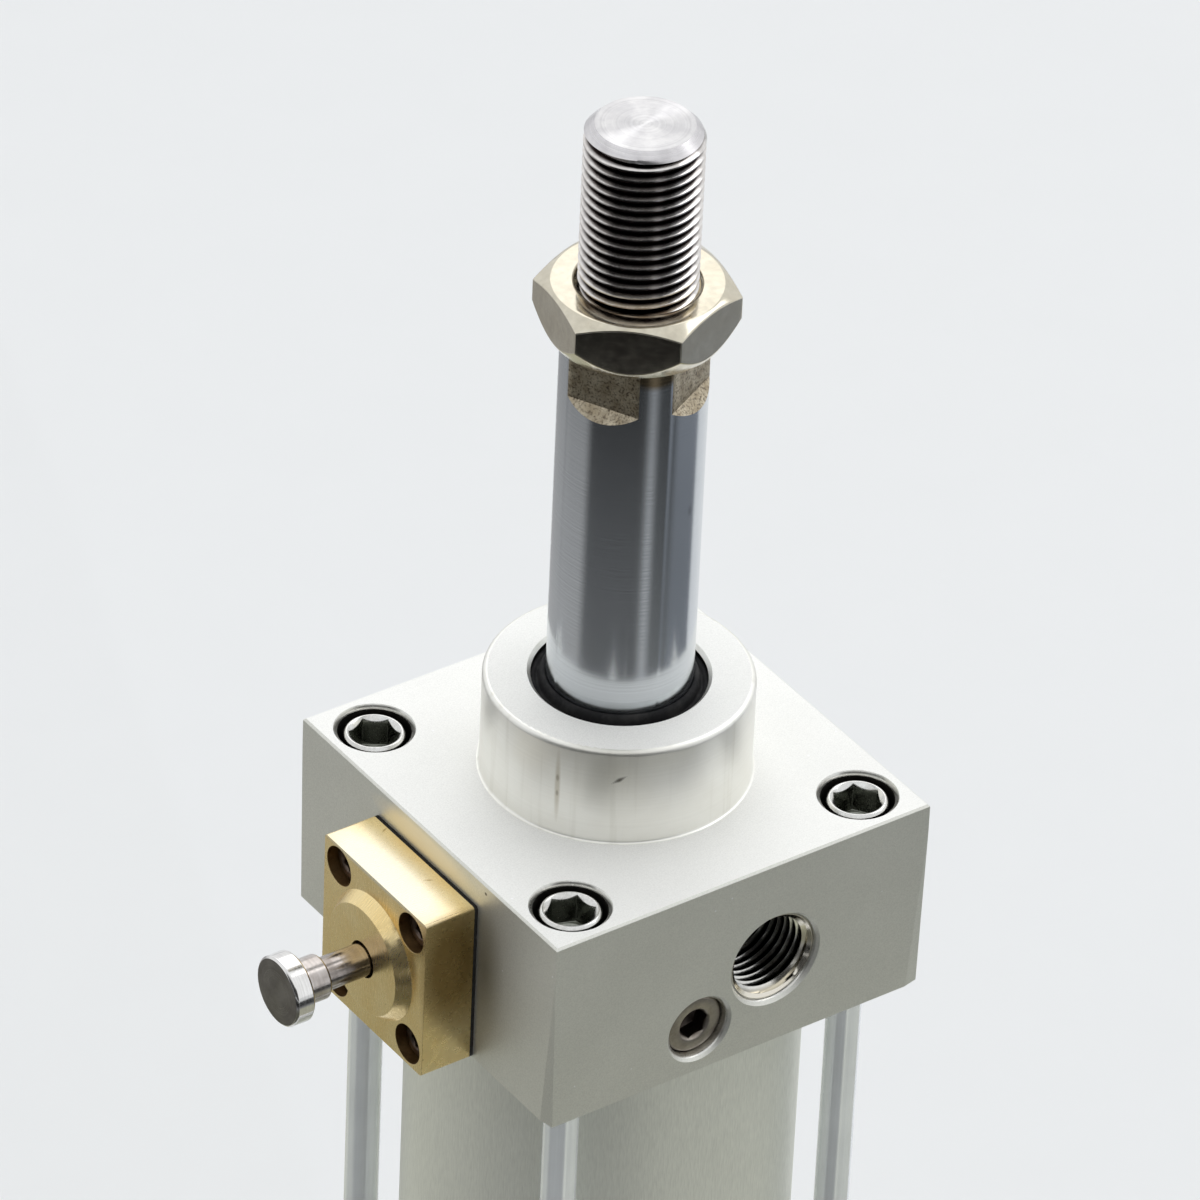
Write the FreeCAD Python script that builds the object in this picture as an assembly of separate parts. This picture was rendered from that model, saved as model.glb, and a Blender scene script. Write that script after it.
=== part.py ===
import FreeCAD, Part
import math
import os

# Locking pneumatic cylinder with tie rods, standing on its rear cover.
# The origin is the centre of the rear face, +Z runs along the rod, and sizes are in millimetres.
# The lock sits on the -X face of the head cover, the air ports and cushion needles on the -Y faces.

# Main sizes
BORE = 50.0
STROKE = 100.0
EXTENSION = 40.0
ROD_D = 20.0
END_GAP = 0.5
RUNNING_GAP = 0.03
SEAL_GAP = 0.05

# Covers
COVER_SIDE = 61.0
COVER_H = 30.0
COVER_EDGE = 0.3
SPIGOT_L = 8.0
SPIGOT_GAP = 0.05
BEVEL_START = 5.0
BEVEL_LONG = 2.2
BEVEL_SHORT = 0.5
COLLAR_D = 37.0
COLLAR_H = 15.0
COLLAR_EDGE = 0.8
ROD_BORE_D = 24.0
ROD_BORE_DEPTH = 7.0
TUBE_WALL = 2.4

# Tie rods and their round nuts
TIE_PITCH = 47.0
TIE_ROD_D = 4.9
TIE_THREAD_D = 5.35
TIE_RUNOUT = 2.0
TIE_HOLE_D = 6.2
TIE_GRIP = 6.0
NUT_D = 8.6
NUT_RECESS = 0.5
NUT_SEAT_DEPTH = 17.0
NUT_BORE_D = 10.2
NUT_BORE_EDGE = 0.55
NUT_HEX = 6.05
NUT_HEX_DEPTH = 4.5
NUT_TAP_D = 5.0
NUT_MOUTH_D = 7.4

# Air ports and cushion needles, placed from the outer face of each cover
PORT_X = 5.8
PORT_DEPTH = 16.2
PORT_D = 13.16
PORT_L = 12.0
PORT_EDGE = 0.8
PORT_PASSAGE_D = 8.0
NEEDLE_X = -6.3
NEEDLE_DEPTH = 23.1
NEEDLE_D = 9.0
NEEDLE_SINK = 1.2
NEEDLE_HEAD_L = 4.3
NEEDLE_HEX = 4.0
NEEDLE_HEX_L = 2.6
NEEDLE_MOUTH_D = 5.0
NEEDLE_NECK_D = 4.0
NEEDLE_CHAMBER_D = 7.2
NEEDLE_SEAT_D = 2.5
NEEDLE_SEAT_LEDGE = 0.6
NEEDLE_TIP_D = 1.1
NEEDLE_TIP_L = 1.2
NEEDLE_CONE_D = 3.2
NEEDLE_CONE_L = 3.0
NEEDLE_GUIDE_GAP = 0.3
NEEDLE_EDGE = 0.7
CUSHION_PASSAGE_D = 3.0
BREAK_THROUGH = 1.0
PASSAGE_Y = -19.5

# Lock on the head cover, placed from its top face
CAP_W = 24.5
CAP_H = 25.4
CAP_T = 7.8
CAP_ROUND = 0.6
GASKET_T = 0.5
BOSS_D = 18.8
BOSS_TOP_D = 16.1
BOSS_H = 1.8
CAP_SCREW_W = 17.4
CAP_SCREW_H = 18.7
CAP_SCREW_BORE_D = 5.8
CAP_SCREW_BORE_L = 4.5
CAP_SCREW_CLEAR_D = 3.4
CAP_SCREW_TAP_D = 2.5
CAP_SCREW_L = 10.0
CAP_SCREW_HEAD_D = 5.5
CAP_SCREW_HEAD_L = 3.0
CAP_SCREW_HEX = 2.5
CAP_SCREW_HEX_L = 1.5
CAP_SCREW_SEAT_GAP = 1.0
LOCK_TRAVEL = 4.0
LOCK_BORE_D = 14.0
LOCK_STEP = 21.8
LOCK_NOSE_D = 8.0
LOCK_CAVITY = 5.5
LOCK_STOP_GAP = 0.2
LOCK_TIP_GAP = 0.1
PLUNGER_L = 6.0
POCKET_D = 9.4
POCKET_L = 3.4
PIN_TAIL_D = 4.0
PIN_TAIL_L = 5.0
STEM_D = 4.7
STEM_HOLE_D = 5.4
PIN_COLLAR_D = 6.4
PIN_COLLAR_L = 3.9
PIN_HEAD_D = 10.1
PIN_HEAD_L = 3.0
PIN_REACH = 23.7
SPRING_OD = 8.6
SPRING_WIRE = 0.9
SPRING_COILS = 5
SPRING_GAP = 0.1

# Rod end
THREAD_D = 16.0
THREAD_PITCH_D = 15.03
THREAD_L = 32.0
THREAD_EDGE = 1.4
NECK_L = 15.0
FLAT_AF = 17.0
FLAT_L = 8.9
FLAT_RUNOUT = 1.6
FLAT_TURN = 27.0
END_NUT_AF = 24.0
END_NUT_H = 8.0
END_NUT_TURN = 19.5
END_NUT_RIM_D = 22.8
END_NUT_TOP_CONE = 30.0
END_NUT_LOW_CONE = 54.0
END_NUT_SINK_D = 17.2

# Piston, lock sleeve and rear spear
PISTON_L = 22.0
PISTON_GAP = 0.3
PISTON_SEAT_D = 16.0
SLEEVE_D = 30.0
SLEEVE_L = 30.0
SLEEVE_GROOVE_D = 22.4
SLEEVE_GROOVE_W = 8.6
SLEEVE_NOSE_L = 3.0
SLEEVE_NOSE_D = 26.0
HEAD_CUSHION_D = 31.0
SPEAR_D = 24.0
SPEAR_L = 20.0
SPEAR_NOSE_L = 3.0
SPEAR_NOSE_D = 21.0
SPEAR_HEX = 10.0
SPEAR_HEX_L = 5.0
ROD_TAIL_D = 14.0
ROD_TAIL_L = 14.0
REAR_CUSHION_D = 25.2
REAR_CUSHION_FLOOR = 11.0

# Ring grooves
TUBE_RING_SECTION = 1.96
TUBE_RING_WIDTH = 2.4
TUBE_RING_FLOOR_D = 46.0
CUSHION_RING_L = 4.0
CUSHION_RING_INSET = 2.0
CUSHION_RING_WALL = 2.5
CUSHION_LIP = 0.4
WIPER_L = 5.5
WIPER_SHELF = 1.2
WIPER_LIP = 0.8
WIPER_EDGE = 0.6
ROD_SEAL_L = 5.0
CUP_DEPTH = 1.9
CUP_HALF = 0.35
CUP_EDGE = 0.6
STACK_GAP = 0.2
LOCK_RING_SECTION = 1.44
LOCK_RING_FLOOR_D = 11.0
LOCK_RING_WIDTH = 1.8
LOCK_RING_INSET = 0.6
NEEDLE_RING_SECTION = 1.4
NEEDLE_RING_WIDTH = 1.7
NEEDLE_RING_INSET = 1.5
PISTON_SEAL_FLOOR_D = 42.0
PISTON_SEAL_W = 4.0
PISTON_SEAL_INSET = 2.0
WEAR_FLOOR_D = 46.0
WEAR_W = 6.0
PISTON_RING_D = 18.6
PISTON_RING_SECTION = 1.3
PISTON_RING_WIDTH = 1.8

# Levels along the cylinder
TUBE_L = STROKE + PISTON_L + 2 * END_GAP + 2 * SPIGOT_L
TUBE_LOW = COVER_H
TUBE_HIGH = TUBE_LOW + TUBE_L
HEAD_TOP = TUBE_HIGH + COVER_H
COLLAR_TOP = HEAD_TOP + COLLAR_H
PISTON_LOW = COVER_H + SPIGOT_L + END_GAP + EXTENSION
PISTON_HIGH = PISTON_LOW + PISTON_L
SHOULDER_Z = COLLAR_TOP + NECK_L + EXTENSION
LOCK_Z = TUBE_HIGH + CAP_H / 2
SLEEVE_TRAVEL = STROKE - EXTENSION
HALF_SIDE = COVER_SIDE / 2
HALF_PITCH = TIE_PITCH / 2

# Levels along the lock, as distances from the rod's axis
CAP_INNER = HALF_SIDE + GASKET_T
CAP_FACE = CAP_INNER + CAP_T
BOSS_FACE = CAP_FACE + BOSS_H
CAVITY_FLOOR = CAP_INNER + LOCK_CAVITY
CAP_SCREW_SEAT = CAP_FACE - CAP_SCREW_BORE_L
PLUNGER_TIP = HEAD_CUSHION_D / 2 + LOCK_TIP_GAP
PLUNGER_BACK = LOCK_STEP + LOCK_TRAVEL + LOCK_STOP_GAP
PLUNGER_TOP = PLUNGER_BACK + PLUNGER_L
POCKET_FLOOR = PLUNGER_TOP - POCKET_L
PIN_TAIL = POCKET_FLOOR - PIN_TAIL_L
LOCK_RING_LOW = PLUNGER_BACK + LOCK_RING_INSET
PIN_TIP = HALF_SIDE + PIN_REACH

# Levels of the seals and bush in the collar
WIPER_LOW = COLLAR_TOP - WIPER_L
ROD_SEAL_LOW = WIPER_LOW - ROD_SEAL_L
BUSH_LOW = HEAD_TOP - ROD_BORE_DEPTH

# Levels along the rod
SLEEVE_TOP = PISTON_HIGH + SLEEVE_L
TAIL_LOW = PISTON_LOW - ROD_TAIL_L
THREAD_TOP = SHOULDER_Z + THREAD_L
END_NUT_TOP = SHOULDER_Z + END_NUT_H

V = FreeCAD.Vector
ORIGIN = V(0, 0, 0)
UP = V(0, 0, 1)
LOCK_OUT = V(-1, 0, 0)
PORT_OUT = V(0, -1, 0)


def turned(profile):
    """Solid of revolution about Z from (radius, height) points."""
    points = [V(radius, 0, height) for radius, height in profile]
    face = Part.Face(Part.makePolygon(points + points[:1]))
    return face.revolve(ORIGIN, UP, 360)


def ring(inner_d, outer_d, low, high):
    """Plain ring about Z."""
    profile = [(inner_d / 2, low), (outer_d / 2, low), (outer_d / 2, high), (inner_d / 2, high)]
    return turned(profile)


def cord_section(thickness, x, z):
    """Eight corners round a cord's section, as (x, z), with its flats a thickness apart."""
    half_turn = math.pi / 8
    corner = thickness / 2 / math.cos(half_turn)
    angles = [half_turn * (2 * k + 1) for k in range(8)]
    return [(x + corner * math.cos(a), z + corner * math.sin(a)) for a in angles]


def cord_ring(inner_d, section, height):
    """Sealing ring of cord about Z."""
    return turned(cord_section(section, (inner_d + section) / 2, height))


def rod(diameter, low, high, x=0.0, y=0.0):
    """Plain cylinder along Z between two heights."""
    return Part.makeCylinder(diameter / 2, high - low, V(x, y, low))


def hexagon(across_flats, low, high, turn=0.0):
    """Hexagonal prism along Z, with its first corner at the given angle."""
    radius = across_flats / math.sqrt(3)
    angles = [math.radians(turn + 60 * k) for k in range(6)]
    corners = [V(radius * math.cos(a), radius * math.sin(a), low) for a in angles]
    face = Part.Face(Part.makePolygon(corners + corners[:1]))
    return face.extrude(V(0, 0, high - low))


def aimed(shape, direction, origin):
    """Shape made along +Z, turned to point along another direction from an origin."""
    placed = shape.copy()
    placed.Placement = FreeCAD.Placement(origin, FreeCAD.Rotation(UP, direction)).multiply(shape.Placement)
    return placed


def tie_points():
    """Centres of the four tie rods, counted round from -X, -Y."""
    return [(-HALF_PITCH, -HALF_PITCH), (HALF_PITCH, -HALF_PITCH),
            (HALF_PITCH, HALF_PITCH), (-HALF_PITCH, HALF_PITCH)]


def cap_screw_points():
    """Centres of the lock screws, as (up, along Y) from the lock's axis."""
    return [(up * CAP_SCREW_H / 2, side * CAP_SCREW_W / 2) for up in (-1, 1) for side in (-1, 1)]


def corner_bevel():
    """Wedge that takes the tapered bevel off the corner at -X, -Y, widest at the tube."""
    corner = -HALF_SIDE
    tip = V(corner, corner, BEVEL_START)
    foot = V(corner, corner, COVER_H)
    along_y = V(corner, corner + BEVEL_LONG, COVER_H)
    along_x = V(corner + BEVEL_SHORT, corner, COVER_H)
    loops = [(tip, foot, along_y), (tip, along_x, foot), (tip, along_y, along_x), (foot, along_x, along_y)]
    faces = [Part.Face(Part.makePolygon([*loop, loop[0]])) for loop in loops]
    return Part.Solid(Part.Shell(faces))


def cover_block():
    """Square cover with its outer face at z = 0 and its tube side at COVER_H."""
    block = Part.makeBox(COVER_SIDE, COVER_SIDE, COVER_H, V(-HALF_SIDE, -HALF_SIDE, 0))
    outer = [edge for edge in block.Edges if edge.BoundBox.ZMax < COVER_EDGE]
    block = block.makeChamfer(COVER_EDGE, outer)
    for quarter in range(4):
        wedge = corner_bevel()
        wedge.rotate(ORIGIN, UP, 90 * quarter)
        block = block.cut(wedge)
    return block


def spigot():
    """Round spigot that centres the tube, with its ring groove."""
    radius = BORE / 2 - SPIGOT_GAP
    groove_low = COVER_H + (SPIGOT_L - TUBE_RING_WIDTH) / 2
    groove_high = groove_low + TUBE_RING_WIDTH
    floor = TUBE_RING_FLOOR_D / 2
    end = COVER_H + SPIGOT_L
    profile = [(0, COVER_H), (radius, COVER_H), (radius, groove_low), (floor, groove_low),
               (floor, groove_high), (radius, groove_high), (radius, end - COVER_EDGE),
               (radius - COVER_EDGE, end), (0, end)]
    return turned(profile)


def nut_seat():
    """Cutter for a tie-rod hole with its chamfered nut recess."""
    radius = NUT_BORE_D / 2
    rim = radius + NUT_BORE_EDGE
    hole = TIE_HOLE_D / 2
    return turned([(0, 0), (rim, 0), (radius, NUT_BORE_EDGE), (radius, NUT_SEAT_DEPTH),
                   (hole, NUT_SEAT_DEPTH), (hole, COVER_H), (0, COVER_H)])


def port_cutter(cushion_d):
    """Cutter for an air port, pointing out of the -Y face, with its passage to the cushion bore."""
    radius = PORT_D / 2
    floor = HALF_SIDE - PORT_L
    passage = PORT_PASSAGE_D / 2
    inner = math.sqrt((cushion_d / 2) ** 2 - (PORT_X + passage) ** 2) - BREAK_THROUGH
    profile = [(0, inner), (passage, inner), (passage, floor), (radius, floor),
               (radius, HALF_SIDE - PORT_EDGE), (radius + PORT_EDGE, HALF_SIDE), (0, HALF_SIDE)]
    return aimed(turned(profile), PORT_OUT, V(PORT_X, 0, PORT_DEPTH))


def needle_levels():
    """Distances of the needle's steps from the cylinder's axis plane: face, head foot, seat."""
    face = HALF_SIDE - NEEDLE_SINK
    return face, face - NEEDLE_HEAD_L, -PASSAGE_Y - CUSHION_PASSAGE_D / 2 - NEEDLE_SEAT_LEDGE


def needle_cutter(cushion_d):
    """Cutter for a cushion needle's bore, chamber and seat, with the passage to the tube."""
    face, foot, seat = needle_levels()
    head = NEEDLE_D / 2 + SEAL_GAP
    rim = head + NEEDLE_EDGE
    chamber = NEEDLE_CHAMBER_D / 2
    shoulder = foot - NEEDLE_SINK
    hole = NEEDLE_SEAT_D / 2
    inner = math.sqrt((cushion_d / 2) ** 2 - NEEDLE_X ** 2) - BREAK_THROUGH
    profile = [(0, inner), (hole, inner), (hole, seat), (chamber, seat), (chamber, shoulder),
               (head, shoulder), (head, HALF_SIDE - NEEDLE_EDGE), (rim, HALF_SIDE), (0, HALF_SIDE)]
    bore = aimed(turned(profile), PORT_OUT, V(NEEDLE_X, 0, NEEDLE_DEPTH))
    passage = rod(CUSHION_PASSAGE_D, NEEDLE_DEPTH, COVER_H + SPIGOT_L, NEEDLE_X, PASSAGE_Y)
    return bore.fuse(passage)


def cushion_cutter(cushion_d, floor):
    """Cutter for the cushion bore and its seal groove, from the spigot's end to a floor depth."""
    end = COVER_H + SPIGOT_L
    groove_high = end - CUSHION_RING_INSET
    groove = ring(cushion_d, cushion_d + 2 * CUSHION_RING_WALL, groove_high - CUSHION_RING_L, groove_high)
    return rod(cushion_d, floor, end).fuse(groove)


def end_cover(cushion_d, cushion_floor):
    """Everything that the two covers share, with the outer face at z = 0."""
    cover = cover_block().fuse(spigot())
    cutters = [cushion_cutter(cushion_d, cushion_floor), port_cutter(cushion_d), needle_cutter(cushion_d)]
    for x, y in tie_points():
        seat = nut_seat()
        seat.translate(V(x, y, 0))
        cutters.append(seat)
    return cover.cut(cutters).removeSplitter()


def collar():
    """Round collar on the head cover's top face, with a soft outer edge."""
    body = rod(COLLAR_D, HEAD_TOP, COLLAR_TOP)
    rim = [edge for edge in body.Edges if edge.BoundBox.ZMin > COLLAR_TOP - COLLAR_EDGE]
    return body.makeFillet(COLLAR_EDGE, rim)


def lock_bore():
    """Cutter for the lock's stepped bore and its screw holes in the head cover."""
    wide = LOCK_BORE_D / 2
    guide = LOCK_NOSE_D / 2 + RUNNING_GAP
    profile = [(0, 0), (guide, 0), (guide, LOCK_STEP), (wide, LOCK_STEP), (wide, HALF_SIDE), (0, HALF_SIDE)]
    cutter = turned(profile)
    hole_floor = CAP_SCREW_SEAT - CAP_SCREW_L - CAP_SCREW_SEAT_GAP
    for up, side in cap_screw_points():
        cutter = cutter.fuse(rod(CAP_SCREW_TAP_D, hole_floor, HALF_SIDE, up, side))
    return aimed(cutter, LOCK_OUT, V(0, 0, LOCK_Z))


def head_cover():
    cover = end_cover(HEAD_CUSHION_D, ROD_BORE_DEPTH).mirror(ORIGIN, UP)
    cover.translate(V(0, 0, HEAD_TOP))
    cover = cover.fuse(collar())
    mouth = 0.5
    radius = ROD_BORE_D / 2
    low = HEAD_TOP - ROD_BORE_DEPTH
    rod_bore = turned([(0, low), (radius, low), (radius, COLLAR_TOP - mouth), (radius + mouth, COLLAR_TOP),
                       (0, COLLAR_TOP)])
    return cover.cut([rod_bore, lock_bore()]).removeSplitter()


def rear_cover():
    return end_cover(REAR_CUSHION_D, REAR_CUSHION_FLOOR)


def barrel_tube():
    return ring(BORE, BORE + 2 * TUBE_WALL, TUBE_LOW, TUBE_HIGH)


def tie_rod(x, y):
    """Plain bar with a threaded length at each end, drawn at the thread's pitch diameter."""
    low = NUT_SEAT_DEPTH - TIE_GRIP
    high = HEAD_TOP - low
    thread = TIE_THREAD_D / 2
    shank = TIE_ROD_D / 2
    thread_end = NUT_SEAT_DEPTH + TIE_RUNOUT
    thread_start = HEAD_TOP - thread_end
    edge = 0.5
    bar = turned([(0, low), (thread - edge, low), (thread, low + edge), (thread, thread_end),
                  (shank, thread_end), (shank, thread_start), (thread, thread_start), (thread, high - edge),
                  (thread - edge, high), (0, high)])
    bar.translate(V(x, y, 0))
    return bar


def tie_rod_nut():
    """Round nut with its socket end at z = NUT_RECESS and its seat at NUT_SEAT_DEPTH."""
    edge = 0.4
    radius = NUT_D / 2
    body = turned([(0, NUT_RECESS), (radius - edge, NUT_RECESS), (radius, NUT_RECESS + edge),
                   (radius, NUT_SEAT_DEPTH), (0, NUT_SEAT_DEPTH)])
    socket_floor = NUT_RECESS + NUT_HEX_DEPTH
    mouth = NUT_MOUTH_D / 2
    cone_floor = NUT_RECESS + mouth - NUT_HEX / 2
    cone = turned([(0, NUT_RECESS), (mouth, NUT_RECESS), (NUT_HEX / 2, cone_floor), (0, cone_floor)])
    grip = NUT_SEAT_DEPTH - TIE_GRIP
    return body.cut([cone, hexagon(NUT_HEX, NUT_RECESS, socket_floor),
                     rod(NUT_TAP_D, socket_floor, grip), rod(TIE_THREAD_D, grip, NUT_SEAT_DEPTH)])


def tie_rod_nuts(at_head):
    nuts = []
    for x, y in tie_points():
        nut = tie_rod_nut()
        if at_head:
            nut = nut.mirror(ORIGIN, UP)
            nut.translate(V(0, 0, HEAD_TOP))
        nut.translate(V(x, y, 0))
        nuts.append(nut)
    return Part.makeCompound(nuts)


def tube_oring(height):
    return cord_ring(TUBE_RING_FLOOR_D, TUBE_RING_SECTION, height)


def cushion_seal(cushion_d, low):
    """Lip ring that the sleeve or the spear runs into, kept in the cover's groove."""
    outer = cushion_d / 2 + CUSHION_RING_WALL
    lip = cushion_d / 2 - CUSHION_LIP
    high = low + CUSHION_RING_L
    slope = 2 * CUSHION_LIP
    return turned([(lip, low), (outer, low), (outer, high), (lip + slope, high), (lip, high - slope)])


def rod_bush():
    return ring(ROD_D + 2 * RUNNING_GAP, ROD_BORE_D, BUSH_LOW, ROD_SEAL_LOW - STACK_GAP)


def rod_seal():
    """Cup seal, open towards the pressure below it."""
    inner = ROD_D / 2 + SEAL_GAP
    outer = ROD_BORE_D / 2
    middle = (inner + outer) / 2
    low = ROD_SEAL_LOW
    high = WIPER_LOW - STACK_GAP
    return turned([(inner, low), (middle - CUP_HALF, low), (middle, low + CUP_DEPTH),
                   (middle + CUP_HALF, low), (outer, low), (outer, high), (inner + CUP_EDGE, high),
                   (inner, high - CUP_EDGE)])


def rod_wiper_seal():
    """Wiper with a raised lip against the rod."""
    inner = ROD_D / 2 + SEAL_GAP
    outer = ROD_BORE_D / 2
    shelf = COLLAR_TOP - WIPER_SHELF
    lip = COLLAR_TOP + WIPER_LIP
    return turned([(inner + WIPER_EDGE, WIPER_LOW), (outer, WIPER_LOW), (outer, shelf),
                   (outer - WIPER_EDGE, shelf), (inner + WIPER_EDGE, lip), (inner, lip),
                   (inner, WIPER_LOW + WIPER_EDGE)])


def lock_plate(low, high, round_edge):
    """Rectangular plate of the lock, across the lock's axis."""
    plate = Part.makeBox(CAP_H, CAP_W, high - low, V(-CAP_H / 2, -CAP_W / 2, low))
    sides = [edge for edge in plate.Edges if edge.BoundBox.ZLength > (high - low) / 2]
    return plate.makeFillet(round_edge, sides)


def lock_cap():
    body = lock_plate(CAP_INNER, CAP_FACE, CAP_ROUND)
    boss = Part.makeCone(BOSS_D / 2, BOSS_TOP_D / 2, BOSS_H, V(0, 0, CAP_FACE))
    cutters = [rod(LOCK_BORE_D, CAP_INNER, CAVITY_FLOOR), rod(STEM_HOLE_D, CAVITY_FLOOR, BOSS_FACE)]
    for up, side in cap_screw_points():
        cutters.append(rod(CAP_SCREW_BORE_D, CAP_SCREW_SEAT, CAP_FACE, up, side))
        cutters.append(rod(CAP_SCREW_CLEAR_D, CAP_INNER, CAP_SCREW_SEAT, up, side))
    return aimed(body.fuse(boss).cut(cutters), LOCK_OUT, V(0, 0, LOCK_Z))


def lock_gasket():
    plate = lock_plate(HALF_SIDE, CAP_INNER, CAP_ROUND)
    cutters = [rod(LOCK_BORE_D + 4 * SEAL_GAP, HALF_SIDE, CAP_INNER)]
    cutters += [rod(CAP_SCREW_CLEAR_D, HALF_SIDE, CAP_INNER, up, side) for up, side in cap_screw_points()]
    return aimed(plate.cut(cutters), LOCK_OUT, V(0, 0, LOCK_Z))


def lock_cap_screw():
    """Socket screw along Z with its head on the cap's counterbore floor."""
    shank = CAP_SCREW_TAP_D / 2
    head = CAP_SCREW_HEAD_D / 2
    end = CAP_SCREW_SEAT - CAP_SCREW_L
    top = CAP_SCREW_SEAT + CAP_SCREW_HEAD_L
    edge = 0.3
    profile = [(0, end), (shank, end), (shank, CAP_SCREW_SEAT), (head, CAP_SCREW_SEAT), (head, top - edge),
               (head - edge, top), (0, top)]
    return turned(profile).cut(hexagon(CAP_SCREW_HEX, top - CAP_SCREW_HEX_L, top))


def lock_cap_screws():
    screws = []
    for up, side in cap_screw_points():
        screw = lock_cap_screw()
        screw.translate(V(up, side, 0))
        screws.append(aimed(screw, LOCK_OUT, V(0, 0, LOCK_Z)))
    return Part.makeCompound(screws)


def lock_spring():
    """Compression spring round the stem, between the plunger's pocket and the cap's floor."""
    wire = SPRING_WIRE / 2
    radius = SPRING_OD / 2 - wire
    low = POCKET_FLOOR + wire + SPRING_GAP
    height = CAVITY_FLOOR - wire - SPRING_GAP - low
    path = Part.makeHelix(height / SPRING_COILS, height, radius)
    corners = [V(x, 0, z) for x, z in cord_section(SPRING_WIRE, radius, 0.0)]
    coil = Part.Wire(path).makePipeShell([Part.makePolygon(corners + corners[:1])], True, True)
    coil.translate(V(0, 0, low))
    return aimed(coil, LOCK_OUT, V(0, 0, LOCK_Z))


def lock_plunger():
    """Stepped plunger: the nose enters the sleeve's groove, the piston takes the air."""
    nose = LOCK_NOSE_D / 2
    edge = 0.5
    land = LOCK_BORE_D / 2 - SEAL_GAP
    floor = LOCK_RING_FLOOR_D / 2
    groove_high = LOCK_RING_LOW + LOCK_RING_WIDTH
    pocket = POCKET_D / 2
    tail = PIN_TAIL_D / 2
    profile = [(0, PLUNGER_TIP), (nose - edge, PLUNGER_TIP), (nose, PLUNGER_TIP + edge), (nose, PLUNGER_BACK),
               (land, PLUNGER_BACK), (land, LOCK_RING_LOW), (floor, LOCK_RING_LOW), (floor, groove_high),
               (land, groove_high), (land, PLUNGER_TOP), (pocket, PLUNGER_TOP), (pocket, POCKET_FLOOR),
               (tail, POCKET_FLOOR), (tail, PIN_TAIL), (0, PIN_TAIL)]
    return aimed(turned(profile), LOCK_OUT, V(0, 0, LOCK_Z))


def lock_plunger_seal():
    seal = cord_ring(LOCK_RING_FLOOR_D, LOCK_RING_SECTION, LOCK_RING_LOW + LOCK_RING_WIDTH / 2)
    return aimed(seal, LOCK_OUT, V(0, 0, LOCK_Z))


def lock_pull_pin():
    """Pull pin screwed into the plunger, with its stem, collar and round head."""
    tail = PIN_TAIL_D / 2
    stem = STEM_D / 2
    neck = PIN_COLLAR_D / 2
    head = PIN_HEAD_D / 2
    edge = 0.3
    head_low = PIN_TIP - PIN_HEAD_L
    collar_low = head_low - PIN_COLLAR_L
    profile = [(0, PIN_TAIL), (tail, PIN_TAIL), (tail, POCKET_FLOOR), (stem, POCKET_FLOOR),
               (stem, collar_low), (neck - edge, collar_low), (neck, collar_low + edge), (neck, head_low),
               (head - edge, head_low), (head, head_low + edge), (head, PIN_TIP - edge),
               (head - edge, PIN_TIP), (0, PIN_TIP)]
    return aimed(turned(profile), LOCK_OUT, V(0, 0, LOCK_Z))


def cushion_needle(height):
    """Needle screw with a hex socket, a ring groove and a cone that throttles the seat."""
    face, foot, seat = needle_levels()
    head = NEEDLE_D / 2
    edge = 0.4
    neck = NEEDLE_NECK_D / 2
    guide = NEEDLE_CHAMBER_D / 2 - NEEDLE_GUIDE_GAP
    tip = seat - NEEDLE_TIP_L
    tip_end = NEEDLE_TIP_D / 2
    ring_high = foot - NEEDLE_RING_INSET
    ring_low = ring_high - NEEDLE_RING_WIDTH
    cone_end = tip + NEEDLE_CONE_L
    profile = [(0, tip), (tip_end, tip), (NEEDLE_CONE_D / 2, cone_end), (guide, cone_end), (guide, ring_low),
               (neck, ring_low), (neck, ring_high), (guide, ring_high), (guide, foot), (head, foot),
               (head, face - edge), (head - edge, face), (0, face)]
    mouth = NEEDLE_MOUTH_D / 2
    cone_floor = face - mouth + NEEDLE_HEX / 2
    cone = turned([(0, face), (mouth, face), (NEEDLE_HEX / 2, cone_floor), (0, cone_floor)])
    screw = turned(profile).cut([cone, hexagon(NEEDLE_HEX, face - NEEDLE_HEX_L, face)])
    return aimed(screw, PORT_OUT, V(NEEDLE_X, 0, height))


def needle_oring(height):
    foot = needle_levels()[1]
    level = foot - NEEDLE_RING_INSET - NEEDLE_RING_WIDTH / 2
    seal = cord_ring(NEEDLE_NECK_D + 2 * SEAL_GAP, NEEDLE_RING_SECTION, level)
    return aimed(seal, PORT_OUT, V(NEEDLE_X, 0, height))


def wrench_flats():
    """Cutters that leave four flats under the rod's shoulder, each with a sloped lower end."""
    low = SHOULDER_Z - FLAT_L
    flat = FLAT_AF / 2
    beyond = ROD_D - flat
    section = [(flat, low + FLAT_RUNOUT), (beyond, low - FLAT_RUNOUT), (beyond, SHOULDER_Z), (flat, SHOULDER_Z)]
    corners = [V(x, -ROD_D, z) for x, z in section]
    slab = Part.Face(Part.makePolygon(corners + corners[:1])).extrude(V(0, 2 * ROD_D, 0))
    cutters = []
    for quarter in range(4):
        cutter = slab.copy()
        cutter.rotate(ORIGIN, UP, FLAT_TURN + 90 * quarter)
        cutters.append(cutter)
    return cutters


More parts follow.
